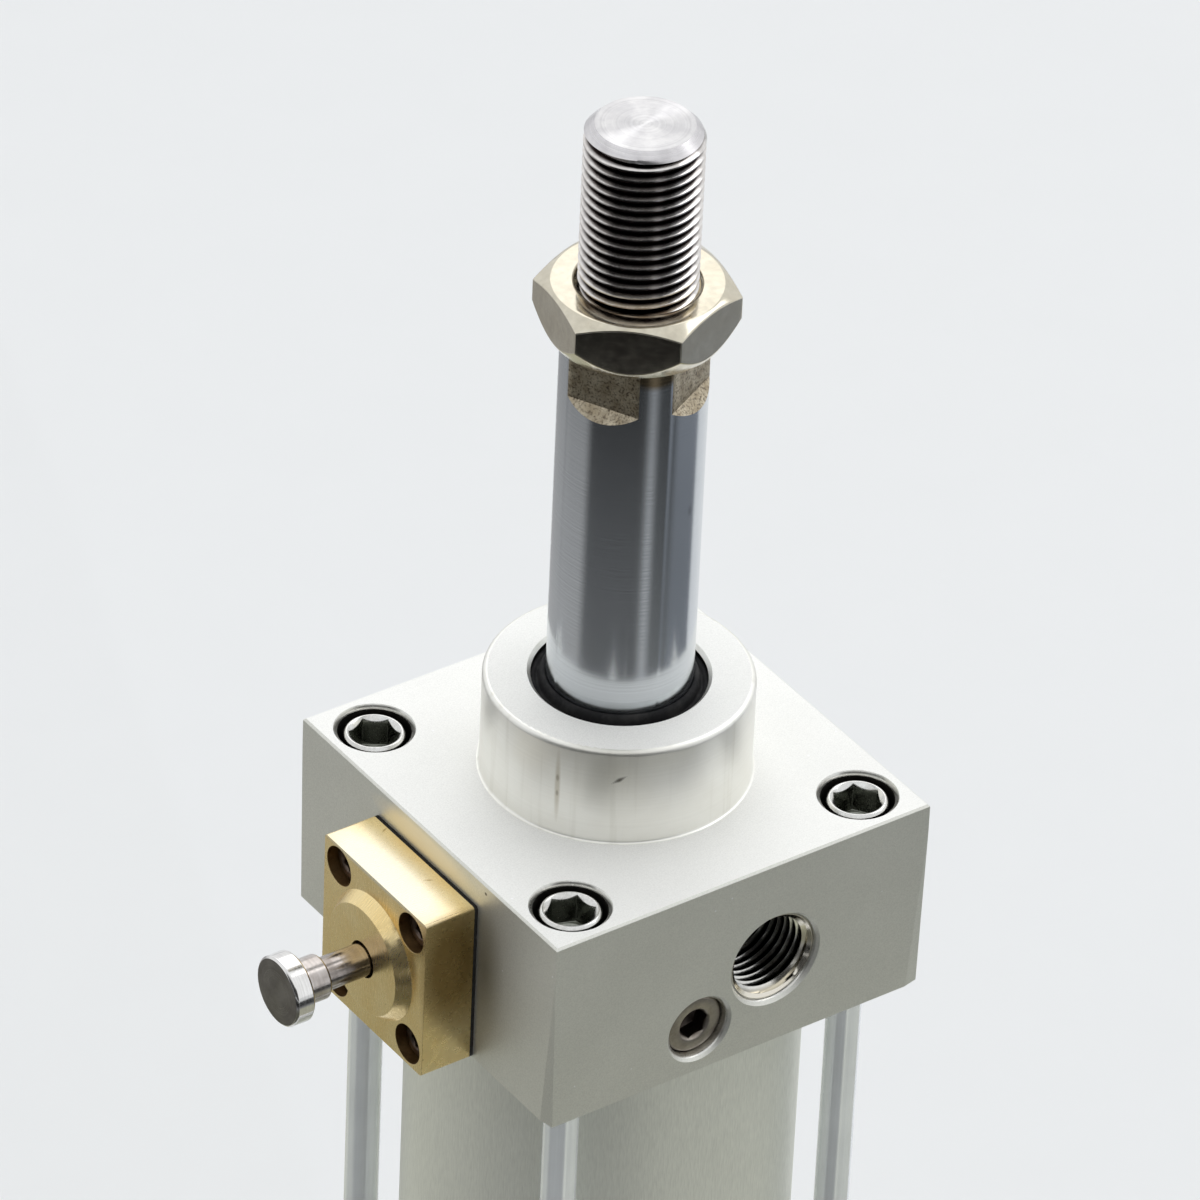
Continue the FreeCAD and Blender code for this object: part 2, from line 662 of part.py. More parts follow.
def piston_rod():
    main = ROD_D / 2
    seat = PISTON_SEAT_D / 2
    tail = ROD_TAIL_D / 2
    thread = THREAD_D / 2
    engaged = THREAD_PITCH_D / 2
    edge = 1.0
    profile = [(0, TAIL_LOW), (tail - edge, TAIL_LOW), (tail, TAIL_LOW + edge), (tail, PISTON_LOW),
               (seat, PISTON_LOW), (seat, SLEEVE_TOP), (main, SLEEVE_TOP), (main, SHOULDER_Z),
               (engaged, SHOULDER_Z), (engaged, END_NUT_TOP), (thread, END_NUT_TOP),
               (thread, THREAD_TOP - THREAD_EDGE), (thread - THREAD_EDGE, THREAD_TOP), (0, THREAD_TOP)]
    return turned(profile).cut(wrench_flats())


def rod_end_nut():
    """Hex nut with both ends turned to a cone, the lower one steeper, and a countersunk thread."""
    beyond = END_NUT_AF / math.sqrt(3) + 0.2
    rim = END_NUT_RIM_D / 2
    rise = (beyond - rim) * math.tan(math.radians(END_NUT_LOW_CONE))
    drop = (beyond - rim) * math.tan(math.radians(END_NUT_TOP_CONE))
    low = SHOULDER_Z
    high = END_NUT_TOP
    barrel = turned([(0, low), (rim, low), (beyond, low + rise), (beyond, high - drop), (rim, high), (0, high)])
    hole = THREAD_PITCH_D / 2
    sink = END_NUT_SINK_D / 2
    bore = turned([(0, low), (sink, low), (hole, low + sink - hole), (hole, high - sink + hole),
                   (sink, high), (0, high)])
    return hexagon(END_NUT_AF, low, high, END_NUT_TURN).common(barrel).cut(bore)


def piston():
    outer = BORE / 2 - PISTON_GAP
    bore = PISTON_SEAT_D / 2
    seal = PISTON_SEAL_FLOOR_D / 2
    wear = WEAR_FLOOR_D / 2
    low, high = PISTON_LOW, PISTON_HIGH
    rear_low = low + PISTON_SEAL_INSET
    front_low = high - PISTON_SEAL_INSET - PISTON_SEAL_W
    wear_low = (low + high - WEAR_W) / 2
    groove = PISTON_RING_D / 2
    middle = (low + high) / 2
    half = PISTON_RING_WIDTH / 2
    edge = 0.6
    profile = [(bore, low), (outer - edge, low), (outer, low + edge)]
    for floor, start, width in ((seal, rear_low, PISTON_SEAL_W), (wear, wear_low, WEAR_W),
                                (seal, front_low, PISTON_SEAL_W)):
        profile += [(outer, start), (floor, start), (floor, start + width), (outer, start + width)]
    profile += [(outer, high - edge), (outer - edge, high), (bore, high), (bore, middle + half),
                (groove, middle + half), (groove, middle - half), (bore, middle - half)]
    return turned(profile)


def piston_oring():
    return cord_ring(PISTON_SEAT_D, PISTON_RING_SECTION, (PISTON_LOW + PISTON_HIGH) / 2)


def piston_seal(faces_up):
    """Cup seal in a piston groove, open towards the end that it holds pressure from."""
    inner = PISTON_SEAL_FLOOR_D / 2 + SEAL_GAP
    outer = BORE / 2 - SEAL_GAP
    middle = (inner + outer) / 2
    lips = PISTON_SEAL_W - 2 * SEAL_GAP
    profile = [(inner, 0), (outer - CUP_EDGE, 0), (outer, CUP_EDGE), (outer, lips), (middle + CUP_HALF, lips),
               (middle, lips - CUP_DEPTH), (middle - CUP_HALF, lips), (inner, lips)]
    seal = turned(profile)
    if faces_up:
        seal.translate(V(0, 0, PISTON_HIGH - PISTON_SEAL_INSET - PISTON_SEAL_W + SEAL_GAP))
        return seal
    seal = seal.mirror(ORIGIN, UP)
    seal.translate(V(0, 0, PISTON_LOW + PISTON_SEAL_INSET + PISTON_SEAL_W - SEAL_GAP))
    return seal


def wear_ring():
    """Split guide band round the piston."""
    low = (PISTON_LOW + PISTON_HIGH - WEAR_W) / 2 + SEAL_GAP
    band = ring(WEAR_FLOOR_D + 2 * SEAL_GAP, BORE - 2 * SEAL_GAP, low, low + WEAR_W - 2 * SEAL_GAP)
    gap = 1.0
    slot = Part.makeBox(BORE, gap, WEAR_W, V(0, -gap / 2, low))
    return band.cut(slot)


def lock_sleeve():
    """Front cushion sleeve with the groove that the lock's nose drops into."""
    outer = SLEEVE_D / 2
    bore = PISTON_SEAT_D / 2
    floor = SLEEVE_GROOVE_D / 2
    middle = LOCK_Z - SLEEVE_TRAVEL
    low = middle - SLEEVE_GROOVE_W / 2
    high = middle + SLEEVE_GROOVE_W / 2
    nose = SLEEVE_TOP - SLEEVE_NOSE_L
    return turned([(bore, PISTON_HIGH), (outer, PISTON_HIGH), (outer, low), (floor, low), (floor, high),
                   (outer, high), (outer, nose), (SLEEVE_NOSE_D / 2, SLEEVE_TOP), (bore, SLEEVE_TOP)])


def rear_cushion_spear():
    """Rear cushion spear, which is also the nut that clamps the piston."""
    outer = SPEAR_D / 2
    low = PISTON_LOW - SPEAR_L
    nose = low + SPEAR_NOSE_L
    body = turned([(0, low), (SPEAR_NOSE_D / 2, low), (outer, nose), (outer, PISTON_LOW), (0, PISTON_LOW)])
    return body.cut([rod(ROD_TAIL_D, TAIL_LOW, PISTON_LOW), hexagon(SPEAR_HEX, low, low + SPEAR_HEX_L)])


def build():
    """All pieces by name."""
    spigot_ring = COVER_H + SPIGOT_L / 2
    cushion_low = COVER_H + SPIGOT_L - CUSHION_RING_INSET - CUSHION_RING_L
    front_seal = cushion_seal(HEAD_CUSHION_D, cushion_low).mirror(ORIGIN, UP)
    front_seal.translate(V(0, 0, HEAD_TOP))
    pieces = {
        "head_cover": head_cover(),
        "rear_cover": rear_cover(),
        "barrel_tube": barrel_tube(),
        "head_tie_rod_nuts": tie_rod_nuts(True),
        "rear_tie_rod_nuts": tie_rod_nuts(False),
        "head_tube_oring": tube_oring(HEAD_TOP - spigot_ring),
        "rear_tube_oring": tube_oring(spigot_ring),
        "rod_bush": rod_bush(),
        "rod_seal": rod_seal(),
        "rod_wiper_seal": rod_wiper_seal(),
        "head_cushion_seal": front_seal,
        "rear_cushion_seal": cushion_seal(REAR_CUSHION_D, cushion_low),
        "lock_cap": lock_cap(),
        "lock_gasket": lock_gasket(),
        "lock_cap_screws": lock_cap_screws(),
        "lock_spring": lock_spring(),
        "lock_plunger": lock_plunger(),
        "lock_plunger_seal": lock_plunger_seal(),
        "lock_pull_pin": lock_pull_pin(),
        "head_cushion_needle": cushion_needle(HEAD_TOP - NEEDLE_DEPTH),
        "head_needle_oring": needle_oring(HEAD_TOP - NEEDLE_DEPTH),
        "rear_cushion_needle": cushion_needle(NEEDLE_DEPTH),
        "rear_needle_oring": needle_oring(NEEDLE_DEPTH),
        "piston_rod": piston_rod(),
        "rod_end_nut": rod_end_nut(),
        "piston": piston(),
        "piston_oring": piston_oring(),
        "piston_seal_front": piston_seal(True),
        "piston_seal_rear": piston_seal(False),
        "piston_wear_ring": wear_ring(),
        "lock_sleeve": lock_sleeve(),
        "rear_cushion_spear": rear_cushion_spear(),
    }
    for number, (x, y) in enumerate(tie_points(), start=1):
        pieces[f"tie_rod_{number}"] = tie_rod(x, y)
    return pieces


os.makedirs("parts", exist_ok=True)
for name, shape in build().items():
    if not shape.isValid():
        raise ValueError(f"{name} is not a valid solid")
    shape.exportStep(f"parts/{name}.step")
    box = shape.BoundBox
    print(f"{name}: volume {shape.Volume:.1f} mm3, z {box.ZMin:.2f} to {box.ZMax:.2f}")
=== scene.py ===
import logging
import math
from contextlib import contextmanager
from dataclasses import dataclass, replace
from enum import Enum, IntEnum
from typing import Any, Callable, Iterator, Optional, Sequence, Union

import bmesh
import bpy
from mathutils import Matrix, Vector


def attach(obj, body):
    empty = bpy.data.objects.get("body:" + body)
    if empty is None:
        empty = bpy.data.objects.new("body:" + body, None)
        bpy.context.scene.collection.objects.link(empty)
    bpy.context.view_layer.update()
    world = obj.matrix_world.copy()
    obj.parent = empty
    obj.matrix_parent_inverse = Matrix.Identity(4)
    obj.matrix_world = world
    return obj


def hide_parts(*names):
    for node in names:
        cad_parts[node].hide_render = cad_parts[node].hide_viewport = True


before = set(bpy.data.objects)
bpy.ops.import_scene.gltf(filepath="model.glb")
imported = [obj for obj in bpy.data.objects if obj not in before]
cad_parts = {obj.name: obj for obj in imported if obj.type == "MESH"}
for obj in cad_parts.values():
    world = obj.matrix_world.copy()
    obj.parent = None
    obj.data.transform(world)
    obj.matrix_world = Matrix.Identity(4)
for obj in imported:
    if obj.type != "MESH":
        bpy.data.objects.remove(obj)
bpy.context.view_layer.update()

# Looks of a locking pneumatic cylinder: covers, tube, tie rods, rod end, lock, needles and ports.
# Sizes are in millimetres and become metres where a mesh is made. +Z runs along the rod.

LOG = logging.getLogger("cylinder")
MM = 0.001
TAU = 2 * math.pi
QUARTER = TAU / 4

Triple = tuple[float, float, float]
Colour = Triple
Along = Union[float, Callable[[float], float]]
Mesh = bpy.types.Mesh
Object = bpy.types.Object
Socket = bpy.types.NodeSocket
WHITE: Colour = (1.0, 1.0, 1.0)
BLACK: Colour = (0.0, 0.0, 0.0)
ORIGIN: Triple = (0.0, 0.0, 0.0)

COVER_HEIGHT = 30.0
HEAD_TOP = 199.0
COLLAR_TOP = 214.0
SHOULDER = 269.0
END_NUT_TOP = 277.0
ROD_TIP = 301.0
HALF_SIDE = 30.5
TIE_PITCH = 47.0
LOCK_Z = 181.7
NEEDLE_X = -6.3
PORT_X = 5.8


class Body(Enum):
    """Bodies that pieces ride on."""

    CYLINDER = "cylinder_body"
    ROD = "rod_assembly"
    LOCK = "lock_pin_group"
    HEAD_NEEDLE = "head_needle"
    REAR_NEEDLE = "rear_needle"


class Facing(Enum):
    """Ways that a turned piece can point from the rod's axis."""

    UP = (0.0, 0.0, 1.0)
    DOWN = (0.0, 0.0, -1.0)
    LOCK_SIDE = (-1.0, 0.0, 0.0)
    PORT_SIDE = (0.0, -1.0, 0.0)

    def frame(self, x: float = 0.0, y: float = 0.0, z: float = 0.0) -> Matrix:
        """Gives the placement of a piece that was made along +Z.

        Args:
            x: place of its origin, in millimetres.
            y: the same along Y.
            z: the same along Z.

        Returns:
            The placement, in metres.
        """
        turn = Vector((0, 0, 1)).rotation_difference(Vector(self.value)).to_matrix().to_4x4()
        return Matrix.Translation(Vector((x, y, z)) * MM) @ turn


class Wiring:
    """Adds and joins the nodes of one tree."""

    def __init__(self, tree: bpy.types.NodeTree) -> None:
        """Keeps the tree."""
        self.tree = tree

    def add(self, kind: str, **settings: Any) -> bpy.types.Node:
        """Adds a node.

        Args:
            kind: the node's type name.
            settings: values of its properties.

        Returns:
            The node.
        """
        node = self.tree.nodes.new(kind)
        for key, value in settings.items():
            setattr(node, key, value)
        return node

    def feed(self, socket: Socket, value: Any) -> None:
        """Links a socket to another one, or sets its number.

        Args:
            socket: the input.
            value: an output socket or a plain value.
        """
        if isinstance(value, bpy.types.NodeSocket):
            self.tree.links.new(value, socket)
        elif value is not None:
            socket.default_value = value

    def math(self, operation: str, *values: Any) -> Socket:
        """Adds one arithmetic step.

        Args:
            operation: the Math node's operation.
            values: up to three sockets or numbers.

        Returns:
            The result's socket.
        """
        node = self.add("ShaderNodeMath", operation=operation)
        for socket, value in zip(node.inputs, values):
            self.feed(socket, value)
        return node.outputs[0]

    def split(self, vector: Socket) -> bpy.types.bpy_prop_collection:
        """Gives the X, Y and Z outputs of a vector.

        Args:
            vector: the vector's socket.

        Returns:
            The three outputs.
        """
        node = self.add("ShaderNodeSeparateXYZ")
        self.feed(node.inputs[0], vector)
        return node.outputs

    def join(self, x: Any, y: Any, z: Any) -> Socket:
        """Gives a vector made of three values.

        Args:
            x: socket or number along X.
            y: the same along Y.
            z: the same along Z.

        Returns:
            The vector.
        """
        node = self.add("ShaderNodeCombineXYZ")
        for socket, value in zip(node.inputs, (x, y, z)):
            self.feed(socket, value)
        return node.outputs[0]


class Surface(Wiring):
    """Material with one shader, and the textures that drive it."""

    def __init__(self, name: str) -> None:
        """Makes the material and its shader.

        Args:
            name: the material's name.
        """
        self.material = bpy.data.materials.new(name)
        self.material.use_nodes = True
        super().__init__(self.material.node_tree)
        self.tree.nodes.clear()
        self.shader = self.add("ShaderNodeBsdfPrincipled")
        self.output = self.add("ShaderNodeOutputMaterial")
        self.feed(self.output.inputs["Surface"], self.shader.outputs["BSDF"])
        self.place = self.add("ShaderNodeTexCoord").outputs["Object"]

    def dress(self, **values: Any) -> None:
        """Sets or links the shader's sockets, with an underscore for each space in a name.

        Args:
            values: sockets or plain values by name.
        """
        for key, value in values.items():
            if isinstance(value, tuple):
                value = (*value, 1.0)
            self.feed(self.shader.inputs[key.replace("_", " ")], value)

    def scaled(self, x: float, y: float, z: float, vector: Optional[Socket] = None) -> Socket:
        """Gives coordinates multiplied along each axis.

        Args:
            x: factor along X.
            y: factor along Y.
            z: factor along Z.
            vector: what is multiplied, the object's coordinates if left out.

        Returns:
            The new coordinates.
        """
        node = self.add("ShaderNodeMapping", vector_type="POINT")
        self.feed(node.inputs["Vector"], vector or self.place)
        node.inputs["Scale"].default_value = (x, y, z)
        return node.outputs[0]

    def noise(self, scale: float, detail: float = 2.0, vector: Optional[Socket] = None) -> Socket:
        """Gives soft noise.

        Args:
            scale: features per metre.
            detail: octaves.
            vector: coordinates, the object's own if left out.

        Returns:
            A value round 0.5.
        """
        node = self.add("ShaderNodeTexNoise")
        self.feed(node.inputs["Vector"], vector or self.place)
        node.inputs["Scale"].default_value = scale
        node.inputs["Detail"].default_value = detail
        return node.outputs[0]

    def specks(self, scale: float, size: float) -> Socket:
        """Gives scattered dots, 1 inside a dot.

        Args:
            scale: cells per metre.
            size: a dot's radius as a share of its cell.

        Returns:
            The mask.
        """
        node = self.add("ShaderNodeTexVoronoi")
        self.feed(node.inputs["Vector"], self.place)
        node.inputs["Scale"].default_value = scale
        core = size * 0.6
        return self.levels(node.outputs["Distance"], core, size, 1.0, 0.0)

    def levels(self, value: Socket, low: float, high: float, start: float, end: float) -> Socket:
        """Stretches a value from one range to another, and holds it there.

        Args:
            value: the socket.
            low: value that becomes start.
            high: value that becomes end.
            start: result at low.
            end: result at high.

        Returns:
            The stretched value.
        """
        node = self.add("ShaderNodeMapRange")
        for socket, number in zip(node.inputs, (value, low, high, start, end)):
            self.feed(socket, number)
        return node.outputs[0]

    def mix(self, share: Socket, first: Any, second: Any) -> Socket:
        """Mixes two colours.

        Args:
            share: share of the second one.
            first: colour or socket.
            second: colour or socket.

        Returns:
            The mixed colour.
        """
        node = self.add("ShaderNodeMix", data_type="RGBA")
        self.feed(node.inputs[0], share)
        # The node has sockets for each data type. Those of a colour are inputs 6 and 7 and output 2.
        for socket, value in zip((node.inputs[6], node.inputs[7]), (first, second)):
            self.feed(socket, (*value, 1.0) if isinstance(value, tuple) else value)
        return node.outputs[2]

    def relief(self, height: Socket, depth: float, normal: Optional[Socket] = None) -> Socket:
        """Turns heights into a bent normal.

        Args:
            height: value from 0 to 1.
            depth: height of 1, in metres.
            normal: normal that this one adds to.

        Returns:
            The normal.
        """
        node = self.add("ShaderNodeBump")
        node.inputs["Distance"].default_value = depth
        self.feed(node.inputs["Height"], height)
        self.feed(node.inputs["Normal"], normal)
        return node.outputs[0]

    def offset(self, centre: Triple) -> Socket:
        """Gives the object's coordinates from a point that is given in millimetres.

        Args:
            centre: the point.

        Returns:
            The coordinates, in metres.
        """
        node = self.add("ShaderNodeVectorMath", operation="SUBTRACT")
        self.feed(node.inputs[0], self.place)
        node.inputs[1].default_value = [c * MM for c in centre]
        return node.outputs[0]

    def length(self, vector: Socket) -> Socket:
        """Gives a vector's length.

        Args:
            vector: the vector's socket.

        Returns:
            The length.
        """
        node = self.add("ShaderNodeVectorMath", operation="LENGTH")
        self.feed(node.inputs[0], vector)
        return node.outputs["Value"]

    def around(self, axis: int, centre: Triple) -> tuple[Socket, Socket]:
        """Gives the distance from an axis and along it.

        Args:
            axis: 0, 1 or 2 for an axis along X, Y or Z.
            centre: a point on the axis, in millimetres.

        Returns:
            Radius and distance along the axis, in metres.
        """
        parts = self.split(self.offset(centre))
        flat = self.join(*[0.0 if k == axis else parts[k] for k in range(3)])
        return self.length(flat), parts[axis]

    def spot(self, centre: Triple, radii: Triple, soft: float) -> Socket:
        """Gives a mask that is 1 inside an ellipsoid.

        Args:
            centre: its middle, in millimetres.
            radii: its half sizes, in millimetres.
            soft: share of the size over which it fades.

        Returns:
            The mask.
        """
        reach = self.length(self.scaled(*[1 / (r * MM) for r in radii], vector=self.offset(centre)))
        return self.levels(reach, 1.0 - soft, 1.0, 1.0, 0.0)


# Noise levels between which a grain and a soft patch go from one end of their range to the other.
GRAIN_SPAN = (0.3, 0.7)
PATCH_SPAN = (0.36, 0.64)


@dataclass(frozen=True)
class Mark:
    """Soft local stain or scratch on a surface, or a painted shade, highlight or reflection, in millimetres.
    """

    centre: Triple
    radii: Triple
    colour: Colour
    share: float = 1.0
    soft: float = 0.6


def scratch(start: Triple, end: Triple, width: float, colour: Colour,
            share: float = 1.0) -> tuple[Mark, ...]:
    """Gives a row of marks that make a line.

    Args:
        start: its first end, in millimetres.
        end: its other end.
        width: its half width.
        colour: its colour.
        share: its strength.

    Returns:
        The marks.
    """
    count, taper, soft = 9, 0.7, 0.8
    places = [k / (count - 1) for k in range(count)]
    middles = [tuple(a + (b - a) * t for a, b in zip(start, end)) for t in places]
    fades = [1 - taper * abs(2 * t - 1) for t in places]
    return tuple(Mark(middle, (width * f,) * 3, colour, share * f, soft) for middle, f in zip(middles, fades))


@dataclass(frozen=True)
class Metal:
    """Metal finish with two tones in soft patches, a grain, and small marks."""

    name: str
    colour: Colour
    shade: Colour
    patch: float = 120.0
    grain: Triple = (4000.0, 4000.0, 4000.0)
    rough: tuple[float, float] = (0.3, 0.4)
    depth: float = 4e-6
    grain_tone: float = 0.12
    metallic: float = 1.0
    speck: tuple[float, float] = (0.0, 0.0)
    speck_colour: Colour = WHITE
    marks: tuple[Mark, ...] = ()

    def grain_of(self, surface: Surface) -> Socket:
        """Gives the fine grain as a value round 0.5."""
        return surface.noise(1.0, detail=3.0, vector=surface.scaled(*self.grain))

    def tone(self, surface: Surface) -> Socket:
        """Gives the colour before marks."""
        patches = surface.levels(surface.noise(self.patch, detail=4.0), *PATCH_SPAN, 0.0, 1.0)
        return surface.mix(patches, self.colour, self.shade)

    def normal(self, surface: Surface, grain: Socket) -> Socket:
        """Gives the bent normal."""
        return surface.relief(grain, self.depth)

    def make(self) -> bpy.types.Material:
        """Builds the material.

        Returns:
            The material.
        """
        surface = Surface(self.name)
        grain = self.grain_of(surface)
        darker = surface.levels(grain, *GRAIN_SPAN, 0.0, self.grain_tone)
        base = surface.mix(darker, self.tone(surface), BLACK)
        if self.speck[0]:
            base = surface.mix(surface.specks(*self.speck), base, self.speck_colour)
        for mark in self.marks:
            mask = surface.spot(mark.centre, mark.radii, mark.soft)
            base = surface.mix(surface.math("MULTIPLY", mask, mark.share), base, mark.colour)
        surface.dress(Base_Color=base, Metallic=self.metallic, Normal=self.normal(surface, grain),
                      Roughness=surface.levels(grain, *GRAIN_SPAN, *self.rough))
        return surface.material


@dataclass(frozen=True)
class TurnedMetal(Metal):
    """Metal with fine tool lines round an axis, on its faces as rings and on its walls as lines."""

    axis: int = 2
    centre: Triple = ORIGIN
    lines: float = 5000.0
    sheen: float = 0.0

    def grain_of(self, surface: Surface) -> Socket:
        """Gives the tool lines as a value round 0.5."""
        radius, along = surface.around(self.axis, self.centre)
        return surface.noise(self.lines, vector=surface.join(radius, along, 0.0))

    def make(self) -> bpy.types.Material:
        """Builds the material, with a sheen across the lines where it has one.

        Returns:
            The material.
        """
        material = super().make()
        if self.sheen:
            wiring = Wiring(material.node_tree)
            shader = next(n for n in material.node_tree.nodes if n.type == "BSDF_PRINCIPLED")
            tangent = wiring.add("ShaderNodeTangent", direction_type="RADIAL", axis="XYZ"[self.axis])
            shader.inputs["Anisotropic"].default_value = self.sheen
            wiring.feed(shader.inputs["Tangent"], tangent.outputs[0])
        return material


@dataclass(frozen=True)
class CollarMetal(TurnedMetal):
    """Turned aluminium with faint upright stains."""

    stain_and_shade: Colour = (0.62, 0.60, 0.52)
    streak: Triple = (420.0, 420.0, 25.0)
    stained: tuple[float, float] = (0.55, 0.75)
    strength: float = 0.45

    def tone(self, surface: Surface) -> Socket:
        """Gives the colour with its stains, which run straight down the wall.

        Args:
            surface: the material that is made.

        Returns:
            The colour.
        """
        base = super().tone(surface)
        streaks = surface.noise(1.0, detail=3.0, vector=surface.scaled(*self.streak))
        return surface.mix(surface.levels(streaks, *self.stained, 0.0, self.strength), base, self.stain_and_shade)


@dataclass(frozen=True)
class ThreadMetal(Metal):
    """Cut thread, with painted shade towards its root."""

    root: float = 7.4
    crest: float = 7.8
    root_painted_shade: Colour = (0.035, 0.024, 0.022)
    axis: int = 2
    centre: Triple = ORIGIN

    def tone(self, surface: Surface) -> Socket:
        """Gives the colour by depth in the thread, with painted shade at the root.

        Args:
            surface: the material that is made.

        Returns:
            The colour.
        """
        radius, _ = surface.around(self.axis, self.centre)
        depth = surface.levels(radius, self.root * MM, self.crest * MM, 0.0, 1.0)
        return surface.mix(depth, self.root_painted_shade, super().tone(surface))


@dataclass(frozen=True)
class SocketMetal(Metal):
    """Metal with painted shade below its end face, in its socket and recess, the same way on both sides of
    the middle.
    """

    axis: int = 2
    middle: float = 99.5
    face: float = 98.4
    fade: float = 0.3
    stain_and_shade: Colour = (0.30, 0.31, 0.275)

    def tone(self, surface: Surface) -> Socket:
        """Gives the colour by distance from the middle, with painted shade below the end face.

        Args:
            surface: the material that is made.

        Returns:
            The colour.
        """
        height = surface.split(surface.place)[self.axis]
        reach = surface.math("ABSOLUTE", surface.math("SUBTRACT", height, self.middle * MM))
        depth = surface.levels(reach, self.face * MM, (self.face - self.fade) * MM, 0.0, 1.0)
        return surface.mix(depth, super().tone(surface), self.stain_and_shade)


@dataclass(frozen=True)
class Chrome(TurnedMetal):
    """Ground hard chrome with a slight waviness along the rod."""

    wave: Triple = (260.0, 260.0, 12.0)
    wave_depth: float = 1.1e-5

    def normal(self, surface: Surface, grain: Socket) -> Socket:
        """Gives the normal of the grinding lines over the waves."""
        waves = surface.noise(1.0, detail=1.0, vector=surface.scaled(*self.wave))
        return surface.relief(grain, self.depth, surface.relief(waves, self.wave_depth))


@dataclass(frozen=True)
class PittedMetal(Metal):
    """Rough, stained metal with small dark pits."""

    pit: Colour = (0.06, 0.04, 0.03)
    pits: float = 3100.0
    pitted: tuple[float, float] = (0.47, 0.70)
    strength: float = 0.85

    def tone(self, surface: Surface) -> Socket:
        """Gives the colour with its pits.

        Args:
            surface: the material that is made.

        Returns:
            The colour.
        """
        base = super().tone(surface)
        pits = surface.levels(surface.noise(self.pits, detail=5.0), *self.pitted, 0.0, self.strength)
        return surface.mix(pits, base, self.pit)


@dataclass(frozen=True)
class Rubber:
    """Black rubber with a fine moulded grain."""

    name: str
    colour: Colour = (0.012, 0.012, 0.013)
    bloom: Colour = (0.035, 0.034, 0.033)
    patch: float = 400.0
    bloomed: tuple[float, float] = (0.45, 0.7)
    grain: float = 2500.0
    rough: tuple[float, float] = (0.68, 0.86)
    depth: float = 2e-5
    gloss: float = 0.25

    def make(self) -> bpy.types.Material:
        """Builds the material.

        Returns:
            The material.
        """
        surface = Surface(self.name)
        grain = surface.noise(self.grain, detail=3.0)
        bloom = surface.levels(surface.noise(self.patch, detail=3.0), *self.bloomed, 0.0, 1.0)
        surface.dress(Base_Color=surface.mix(bloom, self.colour, self.bloom), Specular_IOR_Level=self.gloss,
                      Roughness=surface.levels(grain, *GRAIN_SPAN, *self.rough),
                      Normal=surface.relief(grain, self.depth))
        return surface.material


@dataclass(frozen=True)
class StudioPaper:
    """Pale paper that the cylinder stands on."""

    name: str = "studio_paper"
    colour: Colour = (0.835, 0.845, 0.85)
    fibre: Colour = (0.82, 0.83, 0.835)
    patch: float = 60.0
    grain: float = 900.0
    rough: float = 0.85
    depth: float = 1e-5

    def make(self) -> bpy.types.Material:
        """Builds the material.

        Returns:
            The material.
        """
        surface = Surface(self.name)
        fibres = surface.noise(self.patch, detail=4.0)
        surface.dress(Base_Color=surface.mix(fibres, self.colour, self.fibre), Roughness=self.rough,
                      Normal=surface.relief(surface.noise(self.grain), self.depth))
        return surface.material


# Finishes. A mark's place is in the cylinder's own millimetres.
# The end nut's painted reflection of the thread, dark brown spots on its top face, lies on a circle round the
# thread, at turns from -Y towards +X in radians.
NUT_REFLECTION_RADIUS = 8.5
NUT_REFLECTION_TURNS = (-1.35, -0.95, -0.55, -0.1)
FACED = Metal("faced_aluminium", (0.95, 0.95, 0.92), (0.93, 0.93, 0.90), patch=70.0, metallic=0.18,
              grain=(5200.0, 5200.0, 5200.0), rough=(0.54, 0.62), depth=9e-6, speck=(260.0, 0.045))
BLASTED = Metal("blasted_aluminium", (0.835, 0.835, 0.775), (0.80, 0.80, 0.74), patch=70.0, metallic=0.88,
                grain=(5200.0, 5200.0, 5200.0), rough=(0.42, 0.50), depth=9e-6, speck=(260.0, 0.045),
                marks=(Mark((-30.5, -13.9, 197.6), (0.3, 0.35, 0.3), (0.10, 0.09, 0.08)),
                       # Painted shade: a darker patch on the lock-side face beside the cap's side.
                       Mark((-30.5, -14.5, 185.0), (1.0, 4.5, 11.0), (0.42, 0.41, 0.33), 0.7, 0.9),
                       # Painted reflection: a golden strip above the cap, where the face would mirror the
                       # brass.
                       Mark((-30.5, 1.0, 196.6), (0.6, 13.0, 2.6), (0.97, 0.90, 0.73), 0.85, 0.5)))
COLLAR = CollarMetal("turned_collar", (0.96, 0.955, 0.905), (0.93, 0.92, 0.865), patch=200.0, metallic=0.92,
                     rough=(0.36, 0.44), depth=5e-7, lines=2600.0, grain_tone=0.03,
                     # Painted shade: a broad, soft darker patch on the front of the collar.
                     marks=(Mark((-10.9, -14.9, 211.5), (8.0, 8.0, 9.0), (0.56, 0.545, 0.47), 0.62, 0.95),
                            Mark((-16.1, -9.1, 207.0), (0.5, 0.5, 6.5), (0.52, 0.47, 0.36), 0.55),
                            Mark((-16.1, -9.1, 208.2), (0.3, 0.3, 0.7), (0.30, 0.26, 0.20), 0.6),
                            Mark((-16.1, -9.1, 205.7), (0.25, 0.25, 0.6), (0.30, 0.26, 0.20), 0.6),
                            *scratch((-11.25, -14.7, 208.8), (-9.6, -15.8, 210.1), 0.42, (0.14, 0.13, 0.11))))
MACHINED = Metal("machined_aluminium", (0.84, 0.84, 0.80), (0.76, 0.75, 0.70), patch=500.0,
                 grain=(2500.0, 2500.0, 2500.0), rough=(0.26, 0.38), depth=3e-6)
